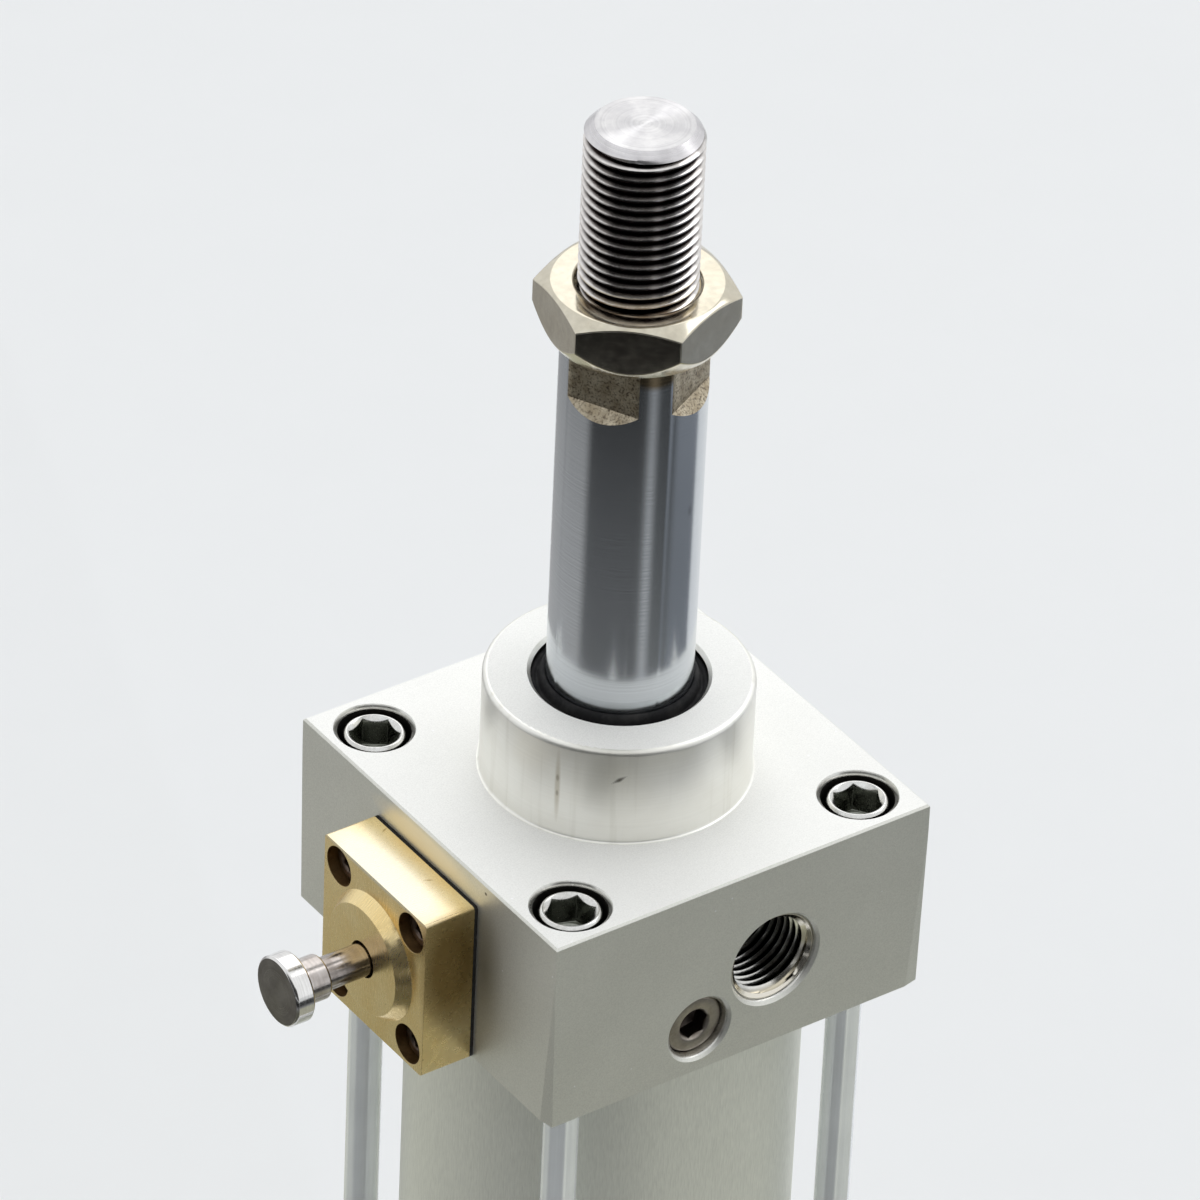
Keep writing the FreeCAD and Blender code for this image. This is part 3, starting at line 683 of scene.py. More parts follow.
# Painted shade: near-black walls of the tie-rod nut recesses and of the wiper's bore.
RECESS = Metal("recess_wall", (0.05, 0.046, 0.042), (0.03, 0.028, 0.026), patch=500.0, rough=(0.5, 0.65))
TUBE = Metal("drawn_tube", (0.86, 0.87, 0.79), (0.83, 0.84, 0.76), patch=60.0, metallic=0.7,
             grain=(5200.0, 5200.0, 600.0), rough=(0.48, 0.58), depth=6e-6)
CHROME = Chrome("hard_chrome", (0.68, 0.71, 0.74), (0.64, 0.67, 0.70), patch=60.0,
                rough=(0.14, 0.21), depth=6e-7, lines=3500.0,
                marks=(Mark((3.3, -9.45, 244.7), (0.6, 0.4, 1.2), (0.42, 0.43, 0.45), 0.6),
                       Mark((-3.1, -9.5, 268.2), (4.5, 4.5, 2.4), (0.30, 0.22, 0.11), 0.9, 0.4)))
# Painted shade: both threads turn dark towards their roots.
THREAD = ThreadMetal("cut_thread", (0.86, 0.83, 0.81), (0.76, 0.72, 0.69), patch=900.0,
                     grain=(900.0, 900.0, 5000.0), rough=(0.12, 0.20), depth=3e-6)
TAPPED = ThreadMetal("tapped_thread", (0.92, 0.91, 0.87), (0.84, 0.83, 0.78), patch=900.0, rough=(0.14, 0.22),
                     depth=3e-6, root=6.3, crest=5.95, root_painted_shade=(0.05, 0.046, 0.04), axis=1)
CHAMFER = TurnedMetal("turned_chamfer", (0.82, 0.80, 0.81), (0.70, 0.68, 0.69), patch=500.0,
                      rough=(0.24, 0.36), depth=3e-6, lines=3000.0)
TIP = TurnedMetal("turned_tip", (0.88, 0.87, 0.87), (0.76, 0.75, 0.76), patch=500.0,
                  rough=(0.40, 0.52), depth=4e-6, lines=3000.0, sheen=0.92)
FLATS = PittedMetal("milled_flats", (0.40, 0.335, 0.235), (0.62, 0.55, 0.42), patch=600.0,
                    rough=(0.35, 0.55), depth=2.5e-5, grain=(2400.0, 2400.0, 2400.0))
NICKEL = Metal("nickel_plate", (0.76, 0.71, 0.585), (0.70, 0.645, 0.52), patch=260.0,
               grain=(900.0, 900.0, 900.0), rough=(0.10, 0.18), depth=5e-6,
               # Painted reflection of the thread on the nut's top face.
               marks=tuple(Mark((NUT_REFLECTION_RADIUS * math.sin(a), -NUT_REFLECTION_RADIUS * math.cos(a), END_NUT_TOP),
                                (2.3, 2.3, 1.5), (0.24, 0.16, 0.09), 0.8, 0.7) for a in NUT_REFLECTION_TURNS))
BRASS = Metal("satin_brass", (0.99, 0.80, 0.43), (0.95, 0.73, 0.35), patch=180.0,
              grain=(900.0, 5200.0, 900.0), rough=(0.24, 0.34), depth=2.5e-6, grain_tone=0.07,
              speck=(420.0, 0.05), speck_colour=(0.40, 0.28, 0.10),
              # Painted highlight: a pale cream patch over the cap's top face.
              marks=(Mark((-37.0, 0.0, 194.5), (6.0, 18.0, 0.9), (0.88, 0.82, 0.65), 0.95, 0.5),
                     # Painted shade: the cap's side towards -Y made darker.
                     Mark((-34.5, -12.4, 186.0), (7.0, 2.0, 13.0), (0.44, 0.29, 0.10), 0.95, 0.6),
                     *scratch((-31.0, 8.9, 194.4), (-32.4, 8.2, 194.4), 0.24, (0.42, 0.28, 0.10), 0.7),
                     *scratch((-32.0, -4.3, 194.4), (-33.6, -3.5, 194.4), 0.24, (0.42, 0.28, 0.10), 0.7)))
# Painted shade: darker brass in the cap's screw bores.
BORE_PAINTED_SHADE = Metal("stained_bore", (0.46, 0.30, 0.13), (0.28, 0.17, 0.075), patch=600.0, rough=(0.4, 0.55))
PIN = TurnedMetal("turned_pin", (0.95, 0.94, 0.92), (0.84, 0.82, 0.80), patch=400.0, rough=(0.10, 0.20),
                  depth=2e-6, axis=0, centre=(0.0, 0.0, LOCK_Z), lines=3600.0)
# Painted shade: the pin's neck, stem and end face are darker copies of its turned steel.
NECK = replace(PIN, name="turned_neck", colour=(0.72, 0.67, 0.64), shade=(0.54, 0.49, 0.46),
               rough=(0.14, 0.24))
STEM = replace(NECK, name="turned_stem", colour=(0.56, 0.51, 0.485), shade=(0.40, 0.355, 0.33), depth=3e-6)
PIN_FACE_PAINTED_SHADE = replace(PIN, name="turned_pin_face", colour=(0.24, 0.225, 0.21), shade=(0.17, 0.155, 0.145),
                   rough=(0.24, 0.38), depth=4e-6, sheen=0.6)
ZINC_ROD = Metal("zinc_tie_rod", (0.92, 0.95, 0.98), (0.86, 0.89, 0.92), patch=120.0, metallic=0.56,
                 grain=(3200.0, 3200.0, 60.0), rough=(0.10, 0.17), depth=1.5e-6, grain_tone=0.06)
# Painted shade: the tie-rod nuts darken below their end faces, in the socket and inside the recess.
ZINC_NUT = SocketMetal("zinc_nut", (0.84, 0.84, 0.82), (0.74, 0.73, 0.70), patch=500.0,
                       grain=(2600.0, 2600.0, 2600.0), rough=(0.16, 0.28), depth=4e-6)
# Painted shade: the needle turns near black below its end face, in its hex socket.
NEEDLE = SocketMetal("needle_steel", (0.46, 0.42, 0.365), (0.36, 0.32, 0.275), patch=600.0,
                     grain=(3000.0, 3000.0, 3000.0), rough=(0.28, 0.42), depth=5e-6,
                     axis=1, middle=0.0, face=29.15, stain_and_shade=(0.10, 0.082, 0.07))
SCREW = Metal("cap_screw_steel", (0.17, 0.13, 0.105), (0.10, 0.075, 0.06), patch=700.0,
              grain=(3200.0, 3200.0, 3200.0), rough=(0.30, 0.48), depth=6e-6)
GROUND = TurnedMetal("ground_steel", (0.54, 0.54, 0.55), (0.48, 0.48, 0.49), rough=(0.14, 0.24))
BRONZE = Metal("sintered_bronze", (0.52, 0.36, 0.19), (0.42, 0.28, 0.14), patch=800.0, rough=(0.35, 0.5))
SEAL = Rubber("seal_rubber")
GASKET = Rubber("gasket_sheet", (0.014, 0.013, 0.012), (0.03, 0.028, 0.026))
GUIDE = Rubber("guide_band", (0.035, 0.035, 0.04), (0.06, 0.06, 0.065))


class Finishes:
    """Keeps one material for each finish."""

    made: dict[str, bpy.types.Material] = {}

    @classmethod
    def of(cls, finish: Any) -> bpy.types.Material:
        """Gives a finish's material, and builds it the first time.

        Args:
            finish: the finish.

        Returns:
            The material.
        """
        if finish.name not in cls.made:
            cls.made[finish.name] = finish.make()
        return cls.made[finish.name]


def plain_mesh(piece: Object) -> None:
    """Replaces an object's mesh by what its modifiers make of it, and removes them.

    Args:
        piece: the object.
    """
    graph = bpy.context.evaluated_depsgraph_get()
    mesh = bpy.data.meshes.new_from_object(piece.evaluated_get(graph), depsgraph=graph)
    mesh.name = piece.name
    piece.modifiers.clear()
    piece.data = mesh


def smoothed(piece: Object, sharp: float = 32.0) -> Object:
    """Shades a piece smooth, apart from its sharp edges.

    Args:
        piece: the object.
        sharp: smallest angle of a sharp edge, in degrees.

    Returns:
        The object.
    """
    piece.data.shade_smooth()
    piece.data.set_sharp_from_angle(angle=math.radians(sharp))
    return piece


def rounded(piece: Object, width: float, least: float = 40.0) -> Object:
    """Breaks a piece's edges and keeps its flats flat.

    Args:
        piece: the object.
        width: width of the broken edge, in millimetres.
        least: smallest angle of an edge that is broken, in degrees.

    Returns:
        The object.
    """
    piece.data.shade_smooth()
    bevel = piece.modifiers.new("edges", "BEVEL")
    bevel.width = width * MM
    bevel.segments = 2
    bevel.limit_method = "ANGLE"
    bevel.angle_limit = math.radians(least)
    weighted = piece.modifiers.new("normals", "WEIGHTED_NORMAL")
    weighted.keep_sharp = False
    plain_mesh(piece)
    return piece


def linked(name: str, mesh: Mesh, *finishes: Any) -> Object:
    """Puts a mesh into the scene with its materials.

    Args:
        name: the piece's name.
        mesh: its mesh.
        finishes: finishes by material index.

    Returns:
        The object.
    """
    piece = bpy.data.objects.new(name, mesh)
    bpy.context.scene.collection.objects.link(piece)
    for finish in finishes:
        mesh.materials.append(Finishes.of(finish))
    return piece


def hand_over(piece: Object, body: Body, slot: str, *nodes: str) -> Object:
    """Ties a finished piece to its body, hides the nodes that it stands for, and reports it.

    Args:
        piece: the piece.
        body: the body that it moves with.
        slot: not used.
        nodes: nodes that it stands for.

    Returns:
        The piece.
    """
    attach(piece, body.value)
    if nodes:
        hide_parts(*nodes)
    LOG.info("%s: %d faces on %s", piece.name, len(piece.data.polygons), body.value)
    return piece


@contextmanager
def editing(mesh: Mesh) -> Iterator[bmesh.types.BMesh]:
    """Opens a mesh for changes, and writes them back at the end.

    Args:
        mesh: the mesh.

    Yields:
        Its form that can be changed.
    """
    work = bmesh.new()
    work.from_mesh(mesh)
    yield work
    work.to_mesh(mesh)
    work.free()


def merged_copy(node: str) -> Mesh:
    """Copies a node's mesh, joins its loose triangles and clears the seams of flat faces.

    Args:
        node: the node's name.

    Returns:
        The new mesh.
    """
    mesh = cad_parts[node].data.copy()
    mesh.materials.clear()
    touching, flat = 1e-6, math.radians(0.5)
    with editing(mesh) as work:
        bmesh.ops.remove_doubles(work, verts=work.verts, dist=touching)
        bmesh.ops.dissolve_limit(work, angle_limit=flat, verts=work.verts, edges=work.edges)
    return mesh


def hexagon(across: float, turn: float = 0.0) -> Callable[[float], float]:
    """Gives a hexagon's radius by angle.

    Args:
        across: width across flats.
        turn: angle of its first corner, in degrees.

    Returns:
        A function of the angle in radians.
    """
    def radius(angle: float) -> float:
        """Gives the radius at one angle."""
        sixth = TAU / 6
        return across / 2 / math.cos((angle - math.radians(turn)) % sixth - sixth / 2)
    return radius


class Turned:
    """Closed body of rings round +Z, whose rings may be round or follow a rule of the angle."""

    TOUCHING = 1e-7

    def __init__(self, angles: Sequence[float]) -> None:
        """Starts an empty body.

        Args:
            angles: places of the ring points, in radians.
        """
        self.angles = list(angles)
        self.rings: list[list[Vector]] = []
        self.bands: list[int] = []

    @classmethod
    def even(cls, steps: int, turn: float = 0.0) -> "Turned":
        """Starts a body with evenly spaced points.

        Args:
            steps: points in a ring.
            turn: angle of the first one, in degrees.

        Returns:
            The body.
        """
        return cls([math.radians(turn) + TAU * k / steps for k in range(steps)])

    def ring(self, radius: Along, height: Along, band: int = 0) -> "Turned":
        """Adds a ring, or a single point on the axis where the radius is 0.

        Args:
            radius: a number, or a function of the angle, in millimetres.
            height: the same for the height.
            band: material index of the faces that lead to it.

        Returns:
            The body, so that rings can follow each other.
        """
        points = []
        for angle in self.angles[:1] if radius == 0 else self.angles:
            r = radius(angle) if callable(radius) else radius
            z = height(angle) if callable(height) else height
            points.append(Vector((r * math.cos(angle), r * math.sin(angle), z)) * MM)
        self.rings.append(points)
        self.bands.append(band)
        return self

    def profile(self, points: Sequence[tuple[float, float]], band: int = 0) -> "Turned":
        """Adds plain rings from (radius, height) points.

        Args:
            points: the profile, in millimetres.
            band: material index of their faces.

        Returns:
            The body.
        """
        for radius, height in points:
            self.ring(radius, height, band)
        return self

    def mesh(self, name: str, place: Matrix, looped: bool = False) -> Mesh:
        """Makes the closed mesh.

        Args:
            name: its name.
            place: where it stands.
            looped: whether the last ring leads back to the first.

        Returns:
            The mesh, with its faces outwards.
        """
        mesh = bpy.data.meshes.new(name)
        count = len(self.angles)
        with editing(mesh) as work:
            rows = [[work.verts.new(place @ p) for p in ring] for ring in self.rings]
            pairs = list(zip(rows, rows[1:], self.bands[1:]))
            if looped:
                pairs.append((rows[-1], rows[0], self.bands[0]))
            for low, high, band in pairs:
                for k in range(count):
                    after = (k + 1) % count
                    corners = [low[k % len(low)], low[after % len(low)],
                               high[after % len(high)], high[k % len(high)]]
                    face = work.faces.new(list(dict.fromkeys(corners)))
                    face.material_index = band
            bmesh.ops.remove_doubles(work, verts=work.verts, dist=self.TOUCHING)
            bmesh.ops.recalc_face_normals(work, faces=work.faces)
        return mesh

    def piece(self, name: str, place: Matrix, *finishes: Any, looped: bool = False) -> Object:
        """Makes the body and puts it into the scene.

        Args:
            name: the piece's name.
            place: where it stands.
            finishes: finishes by material index.
            looped: whether the last ring leads back to the first.

        Returns:
            The object.
        """
        return linked(name, self.mesh(name, place, looped), *finishes)


class Kind(Enum):
    """Kinds of input that a geometry tree has."""

    FLOAT = "NodeSocketFloat"
    INT = "NodeSocketInt"
    VECTOR = "NodeSocketVector"
    OBJECT = "NodeSocketObject"
    MATERIAL = "NodeSocketMaterial"


class Tree(Wiring):
    """Geometry tree with named inputs."""

    def __init__(self, name: str, **inputs: Kind) -> None:
        """Makes an empty tree.

        Args:
            name: its name.
            inputs: kinds of its inputs by name.
        """
        group = bpy.data.node_groups.new(name, "GeometryNodeTree")
        super().__init__(group)
        self.keys = {key: group.interface.new_socket(key, in_out="INPUT", socket_type=kind.value).identifier
                     for key, kind in inputs.items()}
        group.interface.new_socket("Geometry", in_out="OUTPUT", socket_type="NodeSocketGeometry")
        self.source = self.add("NodeGroupInput").outputs
        self.sink = self.add("NodeGroupOutput").inputs

    def close(self, geometry: Socket) -> None:
        """Ends the tree with realised instances and their material.

        Args:
            geometry: what the tree has made.
        """
        realise = self.add("GeometryNodeRealizeInstances")
        paint = self.add("GeometryNodeSetMaterial")
        self.feed(realise.inputs[0], geometry)
        self.feed(paint.inputs["Geometry"], realise.outputs[0])
        self.feed(paint.inputs["Material"], self.source["material"])
        self.feed(self.sink[0], paint.outputs[0])

    def grow(self, name: str, finish: Any, **values: Any) -> Object:
        """Makes a plain mesh with the tree.

        Args:
            name: the piece's name.
            finish: its finish.
            values: the tree's inputs.

        Returns:
            The object, with no modifier left.
        """
        piece = linked(name, bpy.data.meshes.new(name), finish)
        modifier = piece.modifiers.new(name, "NODES")
        modifier.node_group = self.tree
        modifier[self.keys["material"]] = Finishes.of(finish)
        for key, value in values.items():
            modifier[self.keys[key]] = value
        plain_mesh(piece)
        return piece


class ThreadTree(Tree):
    """Helical thread skin along +Z, cut by a cone at each end."""

    ROWS = 4
    FLANK = 0.3125
    CREST = 0.125
    START = 0.4
    TOUCHING = 2e-6
    NUMBERS = ("pitch", "low", "high", "crest", "root", "low_radius", "high_radius", "lead", "side")

    def __init__(self) -> None:
        """Builds the tree: a sheet that is wound round the axis, row by row along the thread."""
        super().__init__("helical_thread", steps=Kind.INT, rows=Kind.INT, material=Kind.MATERIAL,
                         **dict.fromkeys(self.NUMBERS, Kind.FLOAT))
        source = self.source
        sheet = self.add("GeometryNodeMeshGrid")
        for key, value in (("Size X", 1.0), ("Size Y", 1.0),
                           ("Vertices X", self.math("ADD", source["steps"], 1.0)),
                           ("Vertices Y", self.math("ADD", source["rows"], 1.0))):
            self.feed(sheet.inputs[key], value)
        along, up, _ = self.split(self.add("GeometryNodeInputPosition").outputs[0])
        turn = self.math("ADD", along, 0.5)
        row = self.math("ROUND", self.math("MULTIPLY", self.math("ADD", up, 0.5), source["rows"]))
        # Rows 0 and 3 of a winding lie on the root, and rows 1 and 2 on the crest.
        step = self.math("FLOORED_MODULO", row, float(self.ROWS))
        winding = self.math("FLOOR", self.math("DIVIDE", self.math("ADD", row, 0.25), float(self.ROWS)))
        shift = self.math("MULTIPLY", self.math("GREATER_THAN", step, 0.5), self.FLANK)
        for limit, share in ((1.5, self.CREST), (2.5, self.FLANK)):
            shift = self.math("MULTIPLY_ADD", self.math("GREATER_THAN", step, limit), share, shift)
        windings = self.math("SUBTRACT", self.math("ADD", self.math("ADD", winding, turn), shift), 1.0)
        height = self.math("MULTIPLY_ADD", windings, source["pitch"], source["low"])
        height = self.math("MAXIMUM", self.math("MINIMUM", height, source["high"]), source["low"])
        radius = self.radius(step, height)
        angle = self.math("MULTIPLY", turn, TAU)
        place = self.join(self.math("MULTIPLY", radius, self.math("COSINE", angle)),
                          self.math("MULTIPLY", radius, self.math("SINE", angle)), height)
        wound = self.add("GeometryNodeSetPosition")
        self.feed(wound.inputs["Geometry"], sheet.outputs["Mesh"])
        self.feed(wound.inputs["Position"], place)
        merged = self.add("GeometryNodeMergeByDistance")
        self.feed(merged.inputs["Geometry"], wound.outputs[0])
        merged.inputs["Distance"].default_value = self.TOUCHING
        self.close(merged.outputs[0])

    def radius(self, step: Socket, height: Socket) -> Socket:
        """Gives the radius by row and height.

        Args:
            step: row within one winding, from 0 to 3.
            height: height along the axis.

        Returns:
            The radius, limited by the end cones and shallower where the thread starts.
        """
        source = self.source
        in_root = self.math("GREATER_THAN", self.math("ABSOLUTE", self.math("SUBTRACT", step, 1.5)), 1.0)
        left = self.math("SUBTRACT", self.math("SUBTRACT", source["high"], source["lead"]), height)
        share = self.math("DIVIDE", left, self.math("MULTIPLY", source["pitch"], self.START))
        fade = self.math("MINIMUM", self.math("MAXIMUM", share, 0.0), 1.0)
        drop = self.math("MULTIPLY", self.math("SUBTRACT", source["root"], source["crest"]),
                         self.math("MULTIPLY", in_root, fade))
        profile = self.math("MULTIPLY", self.math("ADD", source["crest"], drop), source["side"])
        low = self.math("ADD", self.math("MULTIPLY", source["low_radius"], source["side"]),
                        self.math("SUBTRACT", height, source["low"]))
        high = self.math("ADD", self.math("MULTIPLY", source["high_radius"], source["side"]),
                         self.math("SUBTRACT", source["high"], height))
        least = self.math("MINIMUM", self.math("MINIMUM", profile, low), high)
        return self.math("MULTIPLY", least, source["side"])

    def skin(self, name: str, finish: Any, steps: int, inside: bool, **sizes: float) -> Object:
        """Makes one thread skin.

        Args:
            name: its name.
            finish: its finish.
            steps: points in a winding.
            inside: whether it is the thread of a hole.
            sizes: the tree's lengths, in millimetres.

        Returns:
            The skin, open at both ends.
        """
        windings = math.ceil((sizes["high"] - sizes["low"]) / sizes["pitch"]) + 2
        lengths = {key: value * MM for key, value in sizes.items()}
        side = -1.0 if inside else 1.0
        return self.grow(name, finish, steps=steps, rows=self.ROWS * windings, side=side, **lengths)


class PatternTree(Tree):
    """Copies of one piece at the corners of a rectangle."""

    SEED = 7
    SPREAD = 55.0

    def __init__(self) -> None:
        """Builds the tree: four points, a copy on each with its own turn, and a placement."""
        super().__init__("corner_pattern", item=Kind.OBJECT, along=Kind.FLOAT, across=Kind.FLOAT,
                         spread=Kind.FLOAT, shift=Kind.VECTOR, turn=Kind.VECTOR, material=Kind.MATERIAL)
        source = self.source
        corners = self.add("GeometryNodeMeshGrid")
        for key, value in (("Size X", source["along"]), ("Size Y", source["across"]),
                           ("Vertices X", 2), ("Vertices Y", 2)):
            self.feed(corners.inputs[key], value)
        item = self.add("GeometryNodeObjectInfo")
        self.feed(item.inputs["Object"], source["item"])
        chance = self.add("FunctionNodeRandomValue", data_type="FLOAT")
        self.feed(chance.inputs["Seed"], self.SEED)
        amount = next(s for s in chance.outputs if s.enabled)
        copies = self.add("GeometryNodeInstanceOnPoints")
        self.feed(copies.inputs["Points"], corners.outputs["Mesh"])
        self.feed(copies.inputs["Instance"], item.outputs["Geometry"])
        turn = self.math("MULTIPLY", amount, source["spread"])
        self.feed(copies.inputs["Rotation"], self.join(0.0, 0.0, turn))
        placed = self.add("GeometryNodeTransform")
        self.feed(placed.inputs["Geometry"], copies.outputs[0])
        self.feed(placed.inputs["Translation"], source["shift"])
        self.feed(placed.inputs["Rotation"], source["turn"])
        self.close(placed.outputs[0])

    def four(self, name: str, finish: Any, item: Object, pitch: tuple[float, float], place: Matrix,
             spread: float = 0.0) -> Object:
        """Makes four copies of an item, and removes the item.

        Args:
            name: the piece's name.
            finish: its finish.
            item: one copy, made along +Z at the origin.
            pitch: spacing along X and Y before the placement, in millimetres.
            place: placement of the pattern.
            spread: largest turn of a copy about its axis, in degrees.

        Returns:
            The four copies as one mesh.
        """
        piece = self.grow(name, finish, item=item, along=pitch[0] * MM, across=pitch[1] * MM,
                          spread=math.radians(spread), shift=place.to_translation(), turn=place.to_euler())
        bpy.data.objects.remove(item)
        return piece


class CoverSkin(IntEnum):
    """Finishes of a cover by material index."""

    SIDE = 0
    COLLAR = 1
    HOLE = 2
    # Painted shade in the nut recesses and the wiper's bore.
    RECESS = 3
    FACE = 4


@dataclass
class Covers:
    """Square end covers with their collar, recesses and ports."""

    collar: float = 18.5
    wiper_bore: float = 12.03
    recess: float = 5.2
    recess_edge: float = 0.56
    side_reach: float = 0.35
    slack: float = 0.02
    fillet_size: float = 0.35
    fillet_sink: float = 0.2

    def skin_of(self, centre: Vector, at_head: bool) -> CoverSkin:
        """Tells which finish a face has.

        Args:
            centre: middle of the face, in metres.
            at_head: whether it is on the head cover.

        Returns:
            The finish. The wiper's bore gets the same painted shade as a nut's recess.
        """
        x, y, z = centre / MM
        low = HEAD_TOP - COVER_HEIGHT if at_head else 0.0
        high = low + COVER_HEIGHT
        if at_head and z > high + self.slack / 2:
            wall = CoverSkin.COLLAR if math.hypot(x, y) > self.wiper_bore else CoverSkin.RECESS
            return CoverSkin.FACE if z > COLLAR_TOP - self.slack else wall
        if max(abs(x), abs(y)) > HALF_SIDE - self.side_reach:
            return CoverSkin.SIDE
        if min(abs(z - low), abs(z - high)) < self.slack:
            return CoverSkin.FACE
        beside = math.hypot(abs(x) - TIE_PITCH / 2, abs(y) - TIE_PITCH / 2) < self.recess
        deep = low + self.recess_edge < z < high - self.recess_edge
        return CoverSkin.RECESS if beside and deep else CoverSkin.HOLE

    def cover(self, node: str) -> Object:
        """Makes one cover from its node.

        Args:
            node: the node's name.

        Returns:
            The piece.
        """
        mesh = merged_copy(node)
        piece = linked(f"{node}_body", mesh, BLASTED, COLLAR, MACHINED, RECESS, FACED)
        for face in mesh.polygons:
            face.material_index = self.skin_of(face.center, node == "head_cover")
        smoothed(piece, sharp=24.0)
        weighted = piece.modifiers.new("normals", "WEIGHTED_NORMAL")
        weighted.keep_sharp = True
        plain_mesh(piece)
        return hand_over(piece, Body.CYLINDER, "cover_aluminium", node)

    def fillet(self) -> Object:
        """Makes the small fillet at the collar's foot.

        Returns:
            The piece.
        """
        size, steps = self.fillet_size, 5
        turns = [QUARTER * k / steps for k in range(steps + 1)]
        arc = [(self.collar + size * (1 - math.sin(t)), HEAD_TOP + size * (1 - math.cos(t))) for t in turns]
        inside, below = self.collar - self.fillet_sink, HEAD_TOP - self.fillet_sink
        body = Turned.even(160)
        body.profile([*arc, (inside, HEAD_TOP + size), (inside, below), (self.collar + size, below)])
        piece = smoothed(body.piece("collar_fillet", Matrix(), COLLAR, looped=True))
        return hand_over(piece, Body.CYLINDER, "cover_aluminium")

    def build(self) -> None:
        """Makes both covers and the collar's fillet."""
        for node in ("head_cover", "rear_cover"):
            self.cover(node)
        self.fillet()


@dataclass
class Ports:
    """Threads of the two air ports."""

    root: float = 6.57
    crest: float = 5.72
    pitch: float = 1.337
    depth: float = 11.9
    mouth: float = 0.75
    wall: float = 6.75
    lead: float = 0.3
    level: float = 16.2
    band: Triple = (20.0, 1.4, 20.0)
    # Painted light near the port's mouth: colour and fade of its pale band.
    mouth_highlight_colour: Colour = (0.84, 0.80, 0.70)
    mouth_highlight_soft: float = 0.35
    seam: float = 0.01

    def turn_of(self, vert: bmesh.types.BMVert) -> float:
        """Gives a point's angle about the port, counted from a seam that lies between two points."""
        return (math.atan2(vert.co.y, vert.co.x) + self.seam) % TAU

    def thread(self, tree: ThreadTree, name: str, level: float) -> Object:
        """Makes one port's thread as a closed sleeve inside the cover.

        Args:
            tree: the thread tree.
            name: the piece's name.
            level: height of the port's axis.

        Returns:
            The piece.
        """
        low, high, touching = HALF_SIDE - self.depth, HALF_SIDE - self.mouth, 1e-6
        # Painted light: a pale band over the first turns inside the port's mouth.
        band = Mark((PORT_X, self.lead - high, level), self.band, self.mouth_highlight_colour, soft=self.mouth_highlight_soft)
        finish = replace(TAPPED, name=f"{name}_cut", centre=(PORT_X, 0.0, level), marks=(band,))
        piece = tree.skin(name, finish, steps=96, inside=True, pitch=self.pitch, low=low, high=high,
                          crest=self.crest, root=self.root, low_radius=self.root, high_radius=self.root,
                          lead=self.lead)
        with editing(piece.data) as work:
            cut = next(iter(work.faces))
            open_points = {v for e in work.edges if e.is_boundary for v in e.verts}
            rims = [sorted((v for v in open_points if abs(v.co.z - z * MM) < touching), key=self.turn_of)
                    for z in (low, high)]
            walls = [[work.verts.new((*(v.co.xy * (self.wall * MM / v.co.xy.length)), v.co.z)) for v in rim]
                     for rim in rims]
            # The sleeve's faces take their material from a face of the thread.
            for one, two in ((rims[0], walls[0]), (walls[0], walls[1]), (walls[1], rims[1])):
                for k in range(len(one)):
                    work.faces.new((one[k - 1], one[k], two[k], two[k - 1]), cut)
            bmesh.ops.recalc_face_normals(work, faces=work.faces)
            bmesh.ops.transform(work, verts=work.verts, matrix=Facing.PORT_SIDE.frame(PORT_X, 0.0, level))
        smoothed(piece)
        return hand_over(piece, Body.CYLINDER, "cover_aluminium")

    def build(self, tree: ThreadTree) -> None:
        """Makes both threads.

        Args:
            tree: the thread tree.
        """
        self.thread(tree, "head_port_thread", HEAD_TOP - self.level)
        self.thread(tree, "rear_port_thread", self.level)


